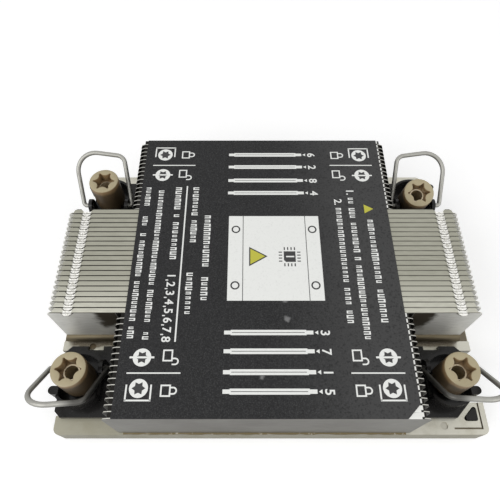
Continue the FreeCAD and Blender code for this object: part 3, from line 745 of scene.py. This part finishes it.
def nut_mesh(s, name, place, materials):
    """One nut with round surfaces, moved into place."""
    rings = nut_rings(s) + thread_rings(s)
    points, depths = [], []
    for radius, height, depth, _ in rings:
        for k in range(AROUND_NUT):
            turn = math.tau * k / AROUND_NUT
            reach = radius
            if isinstance(radius, Wall):
                reach = star_radius(s, turn) + radius.growth
            flat = Vector((reach * math.cos(turn), reach * math.sin(turn), height))
            points.append(place @ flat)
            depths.append(depth)
    piece = make_object(name, points, bands(len(rings), AROUND_NUT), materials)
    mesh = piece.data
    for index, polygon in enumerate(mesh.polygons):
        ring = index // AROUND_NUT
        polygon.material_index = min(rings[ring][3], rings[ring + 1][3])
    store = mesh.attributes.new("depth", "FLOAT", "POINT")
    store.data.foreach_set("value", depths)
    mesh.set_sharp_from_angle(angle=NUT_CREASE)
    return piece


# ---------------------------------------------------------------- wires
AROUND_WIRE, WIRE_CREASE = 20, math.radians(60)
BEND_STEPS = 10


def rounded(corners, radii):
    """Points of a route through the corners, with a round bend of each radius at the inner ones."""
    route = [corners[0]]
    for before, corner, after, radius in zip(corners, corners[1:], corners[2:], radii):
        back = (before - corner).normalized()
        onward = (after - corner).normalized()
        turn = math.pi - back.angle(onward)
        start = corner + back * (radius * math.tan(turn / 2))
        inwards = (onward + back * math.cos(turn)).normalized()
        for step in range(BEND_STEPS + 1):
            a = turn * step / BEND_STEPS
            along, across = radius * math.sin(a), radius * (1 - math.cos(a))
            route.append(start - back * along + inwards * across)
    return route + [corners[-1]]


def wire_route(s):
    """Middle line of a bail that lies level behind its axis, drawn for the rear right corner."""
    corners = [
        (s.inner_end, 0), (s.inner_leg, 0), (s.inner_leg + s.lean, s.inner_length),
        (s.outer_leg + s.lean, s.outer_length), (s.outer_leg, 0), (s.outer_end, 0),
    ]
    radii = [s.foot_bend, s.inner_bend, s.outer_bend, s.foot_bend]
    return rounded([Vector((x, y, 0)) for x, y in corners], radii)


def wire_mesh(s, name, corner, material):
    """Round wire along a bail's route, swung to its rest angle and moved into its corner."""
    side_x, side_y = CORNERS[corner]
    hinge = joint("bail_" + corner + "_swing")
    swing = Matrix.Rotation(s.locked_angle - math.radians(hinge["range_deg"][0]), 3, "X")
    pivot = Vector(hinge["pos_m"])
    route = wire_route(s)
    up = Vector((0, 0, 1))
    points = []
    for back, point, onward in zip(route[:1] + route, route, route[1:] + route[-1:]):
        side = (onward - back).normalized().cross(up)
        for step in range(AROUND_WIRE):
            turn = math.tau * step / AROUND_WIRE
            p = swing @ (point + (side * math.cos(turn) + up * math.sin(turn)) * s.wire_radius)
            points.append(Vector((side_x * p.x, pivot.y + side_y * p.y, pivot.z + p.z)))
    faces = bands(len(route), AROUND_WIRE)
    faces.append(tuple(reversed(range(AROUND_WIRE))))
    faces.append(tuple(range(len(points) - AROUND_WIRE, len(points))))
    if side_x * side_y > 0:
        faces = [tuple(reversed(f)) for f in faces]
    piece = make_object(name, points, faces, [material], smooth=True)
    piece.data.set_sharp_from_angle(angle=WIRE_CREASE)
    return piece


# ---------------------------------------------------------------- label print
# Sides of a disc, and degrees of one step of an arc
DISC_SIDES, ARC_STEP = 28, 12
# Size of the type for one unit of a digit's height, and how much bolder its strokes are
FONT_SIZE, FONT_WEIGHT = 1.4, 0.018
# Rows of small marks: x, y at the row's start and end, height and pitch of the marks
WORD_ROWS = [
    (-14.5, 12.7, -11.8, 2.0, 1.28), (-18.0, 21.8, 4.2, 1.9, 1.2), (-18.2, -4.1, -16.6, 1.9, 1.28),
    (-22.7, 21.8, -1.9, 1.9, 1.25), (-27.3, 21.8, -21.4, 1.75, 1.05),
    (-30.8, 21.8, -21.1, 1.75, 1.05), (27.7, 11.4, -17.3, 2.0, 1.25),
    (23.3, 18.4, -21.4, 1.9, 1.15), (19.8, 15.1, -17.5, 1.9, 1.15),
]
# Small mark of the rows, open on one side, one unit high and wide: three strokes
WORD_MARK = [
    (0.26, -0.5, 0), (0.5, -0.5, 0), (0.5, 0.5, 0), (0.26, 0.5, 0),
    (-0.5, -0.5, 0), (0.26, -0.5, 0), (0.26, -0.17, 0), (-0.5, -0.17, 0),
    (-0.5, 0.17, 0), (0.26, 0.17, 0), (0.26, 0.5, 0), (-0.5, 0.5, 0),
]
MARK_STROKES = [(0, 1, 2, 3), (4, 5, 6, 7), (8, 9, 10, 11)]
# Least and greatest share of a row's height and pitch that a mark takes, the share of marks that
# stay, and the tallest mark's share of the height that the row is given
MARK_HEIGHT, MARK_WIDTH, MARKS_KEPT, ROW_HEIGHT = (0.68, 0.98), (0.5, 0.8), 0.86, 0.92
# Numbered rows: each number's place, its dot's place off it and half of the dot's width
ROW_NUMBERS, DOT, DOT_HALF = [("1", 23.3, 20.4), ("2", 19.8, 17.1)], (-0.7, -1.0), 0.2
# Run of numbers: how many, the first one's place, their pitch, and a comma's edges off a number
RUN, RUN_PLACE, RUN_PITCH, COMMA = 8, (-22.7, -5.1), 2.3, (-1.25, -0.6, 1.0, 1.28)
# Height of the digits in the rows and beside the bars
DIGIT, BAR_DIGIT = 2.0, 2.1
# Bars in front of and behind the panel, with the plain number beside each
BARS = [
    (33.1, "6"), (28.7, "2"), (24.0, "8"), (19.8, "4"),
    (-19.6, "3"), (-24.0, "7"), (-28.7, "1"), (-32.9, "5"),
]
# Each bar's slim ends, its body and its dark line: start, end, half width and layer
BAR_ENDS, BAR_BODY, BAR_LINE = (-9.4, 11.0, 0.46, 1), (-7.9, 9.4, 0.64, 1.2), (-7.6, 9.0, 0.07, 2)
# Pointer and number at a bar's end, their y from the bar's middle
POINTER, BAR_NUMBER = [(11.3, 0), (12.1, -0.5), (12.1, 0.5)], (13.6, -0.1)
# Middles of the corner marks and of the padlocks beside them, and the marks' discs and stars
LOCKED_MARKS = [(-27.4, 33.1), (27.2, 32.8), (-27.5, -32.2), (27.2, -32.2)]
FREE_MARKS = [(-27.5, 25.9), (27.3, 25.7), (-27.5, -25.4), (27.3, -25.4)]
SHUT_LOCKS = [(-20.9, 33.1), (21.0, 32.9), (-21.0, -32.7), (21.1, -32.7)]
OPEN_LOCKS = [(-21.3, 25.9), (20.9, 25.7), (-21.1, -25.4), (21.1, -25.4)]
MARK_RADIUS, STAR_RADIUS, STAR_VALLEY = 2.05, 1.5, 0.62
# Three-sided frame round a locked mark: half of its width, how far out its outer line, its two
# side lines and their inner ends lie, and half of the lines' width
FRAME_HALF, FRAME_FAR, FRAME_SIDE, FRAME_NEAR, FRAME_LINE = 2.85, 2.55, 2.67, 0.8, 0.18
# Stroke across a free mark: half of its length and width
STROKE = (2.75, 0.22)
# Lines between the corner marks: their places, ends and half width, and the one long line
DIVIDERS, DIVIDER_ENDS, DIVIDER_LINE = (29.3, -28.9), (18.7, 30.5), 0.15
LONG_LINE = (-20.63, -20.27, -21.8, 22.1)
# Padlock from its middle: its body's ends and line width, and its shackle's bend, inside, outside
PADLOCK_X, PADLOCK_LINE, SHACKLE_X, SHACKLE = (-1.8, 0.45), 0.34, 1.0, (0.5, 0.84)
# White panel: its edges, the places and half width of its two lines, its rings' middles with
# their inside and outside, its triangle and the yellow's share of that, and the chip
PANEL_X, PANEL_Y = (-8.95, 14.3), (-11.7, 12.3)
PANEL_LINES, PANEL_LINE = (-5.25, 10.75), 0.08
RINGS, RING = [(-7.1, 8.2), (12.5, 8.2), (-7.1, -7.7), (12.4, -7.7)], (0.76, 1.12)
TRIANGLE, TRIANGLE_INSIDE = [(-3.7, 3.0), (-3.7, -2.5), (0.9, 0.3)], 0.8
CHIP = (6.4, 0.2)
CHIP_BODY = [(-1.45, -1.0), (-0.95, -1.5), (1.45, -1.5), (1.45, 1.5), (-1.45, 1.5)]
PIN_PITCH, PIN_PLACE, PIN_LONG, PIN_WIDE = 0.85, 2.3, 0.42, 0.14
# Plain yellow triangle in front of the right-hand rows
SMALL_TRIANGLE = [(29.0, 14.6), (26.6, 13.2), (26.6, 16.0)]


class Sheet:
    """Flat print of one colour: outlines in millimetres on the label, each on its own layer."""

    def __init__(self, settings):
        self.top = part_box("label")[1].z
        self.layer = settings.layer
        self.points = []
        self.faces = []

    def outline(self, points, layer=1):
        """A filled outline that has no hollow corners."""
        area = sum(a[0] * b[1] - b[0] * a[1] for a, b in zip(points, points[1:] + points[:1]))
        first = len(self.points)
        height = self.top + layer * self.layer
        self.points += [Vector((x * MM, y * MM, height)) for x, y in points]
        order = range(first, first + len(points))
        self.faces.append(tuple(order if area > 0 else reversed(order)))

    def bar(self, x0, x1, y0, y1, layer=1):
        """A plain rectangle."""
        self.outline([(x0, y0), (x1, y0), (x1, y1), (x0, y1)], layer)

    def block(self, x, y, half_x, half_y, layer=1):
        """A plain rectangle about its middle."""
        self.bar(x - half_x, x + half_x, y - half_y, y + half_y, layer)

    def polar(self, x, y, corners, layer):
        """An outline whose corners are distances and angles from its middle."""
        self.outline([(x + d * math.cos(t), y + d * math.sin(t)) for d, t in corners], layer)

    def disc(self, x, y, radius):
        """A filled circle."""
        self.polar(x, y, [(radius, math.tau * k / DISC_SIDES) for k in range(DISC_SIDES)], 1)

    def arc(self, x, y, inner, outer, start, end, layer=1):
        """Part of a ring, in degrees."""
        steps = max(3, int(abs(end - start) / ARC_STEP))
        turns = [math.radians(start + (end - start) * k / steps) for k in range(steps + 1)]
        for a, b in zip(turns, turns[1:]):
            self.polar(x, y, [(inner, a), (outer, a), (outer, b), (inner, b)], layer)

    def star(self, x, y, radius, layer):
        """Six-pointed star of six kites."""
        valley = radius * STAR_VALLEY
        for point in range(0, 360, 60):
            kite = [(0, 0), (valley, math.radians(point - 30)),
                    (radius, math.radians(point)), (valley, math.radians(point + 30))]
            self.polar(x, y, kite, layer)

    def frame(self, x0, x1, y0, y1, width):
        """Hollow rectangle."""
        self.bar(x0, x1, y0, y0 + width)
        self.bar(x0, x1, y1 - width, y1)
        self.bar(x0, x0 + width, y0 + width, y1 - width)
        self.bar(x1 - width, x1, y0 + width, y1 - width)

    def number(self, text, x, y, height, layer=1):
        """A plain number read from the right side, its middle at the place given."""
        curve = bpy.data.curves.new("number", "FONT")
        curve.body = text
        curve.size = height * MM * FONT_SIZE
        curve.offset = curve.size * FONT_WEIGHT
        curve.align_x = curve.align_y = "CENTER"
        holder = bpy.data.objects.new("number", curve)
        bpy.context.scene.collection.objects.link(holder)
        bpy.context.view_layer.update()
        mesh = bpy.data.meshes.new_from_object(
            holder.evaluated_get(bpy.context.evaluated_depsgraph_get()))
        place = Matrix.Translation((x * MM, y * MM, self.top + layer * self.layer))
        mesh.transform(place @ Matrix.Rotation(math.radians(-90), 4, "Z"))
        first = len(self.points)
        self.points += [v.co.copy() for v in mesh.vertices]
        self.faces += [tuple(first + i for i in p.vertices) for p in mesh.polygons]
        bpy.data.objects.remove(holder)
        bpy.data.curves.remove(curve)
        bpy.data.meshes.remove(mesh)

    def piece(self, name, material):
        """The whole print of this colour."""
        return make_object(name, self.points, self.faces, [material])


def words_tree():
    """Node tree that lays a row of copies of one small mark, with gaps, each copy of its own size
    and some turned about."""
    tree = bpy.data.node_groups.new("word_row", "GeometryNodeTree")
    tree.interface.new_socket("Geometry", in_out="OUTPUT", socket_type="NodeSocketGeometry")
    for name, kind in (
            ("Geometry", "Geometry"), ("Start", "Vector"), ("Count", "Int"), ("Pitch", "Float"),
            ("Height", "Float"), ("Seed", "Int"), ("Material", "Material")):
        tree.interface.new_socket(name, in_out="INPUT", socket_type="NodeSocket" + kind)
    outputs = tree.nodes.new("NodeGroupInput").outputs
    given = {socket.name: Value(tree, socket) for socket in outputs}
    t = Tree(tree)

    def chance(kind, **limits):
        """A random value for each copy."""
        return t.node(
            "FunctionNodeRandomValue", {"data_type": kind}, {"Seed": given["Seed"], **limits},
            "Value")

    step = t.node("ShaderNodeCombineXYZ", values={"Y": given["Pitch"] * -1.0})
    line = t.node("GeometryNodeMeshLine", values={
        "Count": given["Count"], "Start Location": given["Start"], "Offset": step})
    least, most = MARK_HEIGHT
    height = chance("FLOAT", Min=least, Max=most) * given["Height"]
    least, most = MARK_WIDTH
    width = chance("FLOAT", Min=least, Max=most) * given["Pitch"]
    size = t.node("ShaderNodeCombineXYZ", values={"X": height, "Y": width, "Z": 1.0})
    turn = t.node("ShaderNodeCombineXYZ", values={"Z": chance("INT", Max=1) * math.pi})
    copies = t.node("GeometryNodeInstanceOnPoints", values={
        "Points": line, "Instance": given["Geometry"], "Scale": size,
        "Rotation": t.node("FunctionNodeEulerToRotation", values={0: turn}),
        "Selection": chance("BOOLEAN", Probability=MARKS_KEPT)})
    real = t.node("GeometryNodeRealizeInstances", values={0: copies})
    painted = t.node("GeometryNodeSetMaterial", values={
        "Geometry": real, "Material": given["Material"]})
    t.give(tree.nodes.new("NodeGroupOutput").inputs[0], painted)
    return tree


def word_rows(s, ink):
    """All rows of small marks as one piece."""
    tree = words_tree()
    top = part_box("label")[1].z + s.layer
    rows = []
    for number, (x, start, end, height, pitch) in enumerate(WORD_ROWS):
        count = max(2, round((start - end) / pitch))
        pitch = (start - end) / count
        row = make_object("word_row", WORD_MARK, MARK_STROKES, [ink])
        run_tree(row, tree, {
            "Start": (x * MM, (start - pitch / 2) * MM, top), "Count": count,
            "Pitch": pitch * MM, "Height": height * MM * ROW_HEIGHT,
            "Seed": s.word_seed + number, "Material": ink,
        })
        rows.append(row)
    return join("print_words", rows)


def print_numbers(white):
    """Plain numbers of the rows: two with dots on the right, and a run of eight with commas."""
    for text, x, y in ROW_NUMBERS:
        white.number(text, x, y, DIGIT)
    for _, x, y in ROW_NUMBERS:
        white.block(x + DOT[0], y + DOT[1], DOT_HALF, DOT_HALF)
    x, start = RUN_PLACE
    x0, x1, y0, y1 = COMMA
    for k in range(RUN):
        y = start - RUN_PITCH * k
        white.number(str(k + 1), x, y, DIGIT)
        if k:
            white.bar(x + x0, x + x1, y + y0, y + y1)


def print_bars(white, ink):
    """Long bars in front of and behind the panel, with slimmer ends, a pointer and a number."""
    for y, text in BARS:
        for sheet, shape in ((white, BAR_ENDS), (white, BAR_BODY), (ink, BAR_LINE)):
            start, end, half, layer = shape
            sheet.bar(start, end, y - half, y + half, layer)
        white.outline([(px, y + py) for px, py in POINTER])
        white.number(text, BAR_NUMBER[0], y + BAR_NUMBER[1], BAR_DIGIT)


def print_panel(white, ink, yellow):
    """White panel with its two fine lines, four rings, a triangle and a small picture of a chip."""
    white.bar(*PANEL_X, *PANEL_Y)
    for x in PANEL_LINES:
        ink.bar(x - PANEL_LINE, x + PANEL_LINE, *PANEL_Y, 2)
    for x, y in RINGS:
        ink.arc(x, y, *RING, 0, 360, 2)
    ink.outline(TRIANGLE, 2)
    x, y = (sum(p[axis] for p in TRIANGLE) / 3 for axis in (0, 1))
    yellow.outline([(x + (px - x) * TRIANGLE_INSIDE, y + (py - y) * TRIANGLE_INSIDE)
                    for px, py in TRIANGLE], 3)
    x, y = CHIP
    for k in range(4):
        step = (k - 1.5) * PIN_PITCH
        for off in (-PIN_PLACE, PIN_PLACE):
            ink.block(x + off, y + step, PIN_LONG, PIN_WIDE, 2)
            ink.block(x + step, y + off, PIN_WIDE, PIN_LONG, 2)
    ink.outline([(x + px, y + py) for px, py in CHIP_BODY], 3)
    white.number("1", x, y, DIGIT, 4)


def print_padlock(white, x, y, shut):
    """Hollow padlock that lies on its side, its shackle closed or swung out."""
    low, high, foot, middle = (-1.3, 1.3, 0.45, y) if shut else (-0.9, 1.8, 0.3, y - 0.9)
    inner, outer = SHACKLE
    base, root, bend = x + PADLOCK_X[0], x + PADLOCK_X[1], x + SHACKLE_X
    white.frame(base, root, y + low, y + high, PADLOCK_LINE)
    white.arc(bend, middle, inner, outer, -90, 90)
    white.bar(root, bend, middle + inner, middle + outer)
    white.bar(x + foot, bend, middle - outer, middle - inner)


def print_marks(white, ink):
    """Marks at the label's four corners: star discs, padlocks and the lines between them."""
    for x, y in LOCKED_MARKS + FREE_MARKS:
        white.disc(x, y, MARK_RADIUS)
        ink.star(x, y, STAR_RADIUS, 2)
    for x, y in LOCKED_MARKS:
        outwards = math.copysign(1, y)
        far = y + outwards * FRAME_FAR
        white.block(x, far, FRAME_HALF, FRAME_LINE)
        ends = sorted((far, y - outwards * FRAME_NEAR))
        for side in (x - FRAME_SIDE, x + FRAME_SIDE):
            white.bar(side - FRAME_LINE, side + FRAME_LINE, *ends)
    for x, y in FREE_MARKS:
        white.block(x, y, *STROKE, 3)
    for x, y in SHUT_LOCKS:
        print_padlock(white, x, y, True)
    for x, y in OPEN_LOCKS:
        print_padlock(white, x, y, False)
    near, far = DIVIDER_ENDS
    for y in DIVIDERS:
        for x0, x1 in ((-far, -near), (near, far)):
            white.bar(x0, x1, y - DIVIDER_LINE, y + DIVIDER_LINE)
    white.bar(*LONG_LINE)


# ---------------------------------------------------------------- solder
BEAD_STEPS, BEAD_WAVES = 260, 9
# Least size of the bead, its mean size and how far it swings from that; its share of the ledge
BEAD_LEAST, BEAD_MEAN, BEAD_SWING, LEDGE_SHARE = 0.12, 0.42, 0.5, 0.92
# Section of the bead: share of its reach, how far it is tucked into the fin, share of its height
BEAD_SECTION = [(0, 0.03 * MM, 1.0), (0.28, 0, 0.62), (0.62, 0, 0.3), (1.0, 0, 0.0)]


def solder_bead(s, material):
    """Uneven bead of solder and flux on the plate's edge, against the foot of the front fin."""
    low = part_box("front_fins")[0]
    ledge = (low.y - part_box("base_plate")[0].y) * LEDGE_SHARE
    chance = random.Random(s.solder_seed)
    waves = [
        (chance.uniform(0.4, 2.6), chance.uniform(0, math.tau), chance.uniform(0.3, 1))
        for _ in range(BEAD_WAVES)]
    total = sum(weight for _, _, weight in waves)
    points, faces = [], []
    for k in range(BEAD_STEPS + 1):
        x = -s.solder_half + 2 * s.solder_half * k / BEAD_STEPS
        wave = sum(weight * math.sin(x / MM * f + phase) for f, phase, weight in waves) / total
        size = max(BEAD_LEAST, BEAD_MEAN + BEAD_SWING * wave)
        reach = min(ledge, 0.42 * MM * (0.6 + size))
        for out, tuck, up in BEAD_SECTION:
            height = low.z + s.solder_height * size * up
            points.append(Vector((x, low.y - reach * out + tuck, height)))
    across = len(BEAD_SECTION)
    for k in range(BEAD_STEPS):
        for a in range(k * across, (k + 1) * across - 1):
            faces.append((a, a + 1, a + across + 1, a + across))
    return make_object("solder_bead", points, faces, [material], smooth=True)


# ---------------------------------------------------------------- studio
KEY_PLACE, FILL_PLACE, FILL_SHARE = (-0.34, -0.26, 0.36), (0.34, -0.22, 0.22), 0.7
SENSOR_WIDTH, NEAREST_SEEN = 36.0, 0.001


def floor(s):
    """Plain pale floor that looks white to the camera and still takes a soft shadow."""
    half = s.floor_half
    r = Recipe("floor")
    rays = r.node("ShaderNodeLightPath", output="Is Camera Ray")
    glow = r.mix(rays, (0, 0, 0), (s.floor_glow,) * 3)
    r.give(r.inputs["Emission Color"], glow)
    r.inputs["Emission Strength"].default_value = 1.0
    darker = tuple(c * 0.94 for c in s.floor_colour)
    material = r.finish(r.mix(r.noise(6.0, detail=3.0) * 0.1, s.floor_colour, darker), 0.9)
    corners = [(-half, -half, 0), (half, -half, 0), (half, half, 0), (-half, half, 0)]
    return make_object("floor", corners, [(0, 1, 2, 3)], [material])


def area_light(name, place, power, size):
    """Soft square light that faces the object."""
    data = bpy.data.lights.new(name, "AREA")
    data.energy = power
    data.size = size
    light = bpy.data.objects.new(name, data)
    light.location = place
    light.rotation_euler = (-Vector(place)).to_track_quat("-Z", "Y").to_euler()
    bpy.context.scene.collection.objects.link(light)
    return light


def camera(s):
    """Camera in front of the object, looking down at it."""
    data = bpy.data.cameras.new("camera")
    data.lens = s.camera_lens
    data.sensor_width = SENSOR_WIDTH
    data.clip_start = NEAREST_SEEN
    piece = bpy.data.objects.new("camera", data)
    piece.location = s.camera_place
    piece.rotation_euler = (s.camera_pitch, 0, 0)
    bpy.context.scene.collection.objects.link(piece)
    return piece


def sky(s):
    """Even white all round, plain white to the camera and in reflections and softer as light."""
    world = bpy.data.worlds.new("sky")
    world.use_nodes = True
    t = Tree(world.node_tree)
    ground = t.tree.nodes["Background"].inputs
    ground["Color"].default_value = (1, 1, 1, 1)
    camera_ray, glossy_ray, clear_ray = (
        t.node("ShaderNodeLightPath", output="Is %s Ray" % kind)
        for kind in ("Camera", "Glossy", "Transmission"))
    seen = (camera_ray + glossy_ray + clear_ray).lowest(1.0)
    t.give(ground["Strength"], seen * (1 - s.sky_level) + s.sky_level)
    return world


# ---------------------------------------------------------------- operators
class HEATSINK_OT_metal(bpy.types.Operator):
    """Paint the base plate, the heat pipes and the fins"""

    bl_idname = "heatsink.metal"
    bl_label = "Paint the metal"

    def execute(self, context):
        s = context.scene.heatsink_metal
        paint("base_plate", plate_material(s))
        pipe, fin = pipe_material(s), fin_material(s)
        for node in frame["nodes"]:
            if node.startswith("heat_pipe"):
                paint(node, pipe)
            elif "fin" in node:
                paint(node, fin)
        return {"FINISHED"}


class HEATSINK_OT_brackets(bpy.types.Operator):
    """Paint the corner brackets"""

    bl_idname = "heatsink.brackets"
    bl_label = "Paint the brackets"

    def execute(self, context):
        black = bracket_material(context.scene.heatsink_plastic)
        for corner in CORNERS:
            paint("bracket_" + corner, black)
        return {"FINISHED"}


class HEATSINK_OT_nuts(bpy.types.Operator):
    """Draw the captive nuts with round surfaces"""

    bl_idname = "heatsink.nuts"
    bl_label = "Draw the nuts"

    def execute(self, context):
        s = context.scene.heatsink_plastic
        materials = [nut_material(s), insert_material(s)]
        middle = Matrix.Translation((0, 0, s.lean_middle))
        lean = Matrix.Rotation(-s.lean_inboard, 4, "Y") @ Matrix.Rotation(s.lean_forwards, 4, "X")
        for corner in CORNERS:
            name = "nut_" + corner
            pivot = Vector(joint(name + "_turn")["pos_m"])
            place = Matrix.Translation((pivot.x, pivot.y, 0))
            if corner == LOOSE_CORNER:
                place = place @ middle @ lean @ middle.inverted()
            piece = nut_mesh(s, name + "_round", place, materials)
            paint(name, materials[0])
            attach(piece, name)
            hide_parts(name)
        return {"FINISHED"}


class HEATSINK_OT_wires(bpy.types.Operator):
    """Draw the bails as round wires"""

    bl_idname = "heatsink.wires"
    bl_label = "Draw the wires"

    def execute(self, context):
        s = context.scene.heatsink_wire
        steel = wire_material(s)
        for corner in CORNERS:
            name = "bail_" + corner
            piece = wire_mesh(s, name + "_round", corner, steel)
            paint(name, steel)
            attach(piece, name)
            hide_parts(name)
        return {"FINISHED"}


class HEATSINK_OT_label(bpy.types.Operator):
    """Paint the label's film and draw its print"""

    bl_idname = "heatsink.label"
    bl_label = "Print the label"

    def execute(self, context):
        s = context.scene.heatsink_print
        paint("label", film_material(s))
        white, ink, yellow = Sheet(s), Sheet(s), Sheet(s)
        print_bars(white, ink)
        print_panel(white, ink, yellow)
        print_marks(white, ink)
        print_numbers(white)
        yellow.outline(SMALL_TRIANGLE)
        white_ink = ink_material("white_ink", s.white_colour, s.white_worn)
        dark_ink = ink_material("dark_ink", s.ink_colour, s.ink_worn)
        yellow_ink = ink_material("yellow_ink", s.yellow_colour, s.yellow_worn)
        pieces = [
            white.piece("print_white", white_ink), ink.piece("print_dark", dark_ink),
            yellow.piece("print_yellow", yellow_ink), word_rows(s, white_ink),
        ]
        for piece in pieces:
            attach(piece, "heatsink")
        return {"FINISHED"}


class HEATSINK_OT_solder(bpy.types.Operator):
    """Lay the line of solder and flux at the block's foot"""

    bl_idname = "heatsink.solder"
    bl_label = "Lay the solder"

    def execute(self, context):
        s = context.scene.heatsink_metal
        piece = solder_bead(s, solder_material(s))
        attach(piece, "heatsink")
        return {"FINISHED"}


class HEATSINK_OT_studio(bpy.types.Operator):
    """Set up the floor, the lights and the camera"""

    bl_idname = "heatsink.studio"
    bl_label = "Set up the studio"

    def execute(self, context):
        s = context.scene.heatsink_studio
        scene = context.scene
        scene.camera = camera(s)
        key = area_light("key_light", KEY_PLACE, s.key_power, s.key_size)
        fill = area_light("fill_light", FILL_PLACE, s.fill_power, s.key_size * FILL_SHARE)
        floor(s)
        scene.world = sky(s)
        scene.view_settings.view_transform = "Standard"
        return {"FINISHED"}


# ---------------------------------------------------------------- add-on
class HEATSINK_PT_looks(bpy.types.Panel):
    """Lists the steps that make the heatsink's looks"""

    bl_label = "Heatsink"
    bl_idname = "HEATSINK_PT_looks"
    bl_space_type = "VIEW_3D"
    bl_region_type = "UI"
    bl_category = "Heatsink"

    def draw(self, context):
        for operator in OPERATORS:
            self.layout.operator(operator.bl_idname)


SETTINGS = {
    "heatsink_metal": HeatsinkMetalSettings,
    "heatsink_plastic": HeatsinkPlasticSettings,
    "heatsink_wire": HeatsinkWireSettings,
    "heatsink_print": HeatsinkPrintSettings,
    "heatsink_studio": HeatsinkStudioSettings,
}
OPERATORS = [
    HEATSINK_OT_metal, HEATSINK_OT_brackets, HEATSINK_OT_nuts, HEATSINK_OT_wires,
    HEATSINK_OT_label, HEATSINK_OT_solder, HEATSINK_OT_studio,
]


def register():
    """Register the settings, the operators and the panel."""
    for name, group in SETTINGS.items():
        bpy.utils.register_class(group)
        setattr(bpy.types.Scene, name, bpy.props.PointerProperty(type=group))
    for item in OPERATORS + [HEATSINK_PT_looks]:
        bpy.utils.register_class(item)


def unregister():
    """Undo register."""
    for item in reversed(OPERATORS + [HEATSINK_PT_looks]):
        bpy.utils.unregister_class(item)
    for name, group in reversed(SETTINGS.items()):
        delattr(bpy.types.Scene, name)
        bpy.utils.unregister_class(group)


def main():
    """Run every step in order."""
    register()
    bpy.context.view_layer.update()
    bpy.ops.heatsink.metal()
    bpy.ops.heatsink.brackets()
    bpy.ops.heatsink.nuts()
    bpy.ops.heatsink.wires()
    bpy.ops.heatsink.label()
    bpy.ops.heatsink.solder()
    bpy.ops.heatsink.studio()


if __name__ == "__main__":
    main()
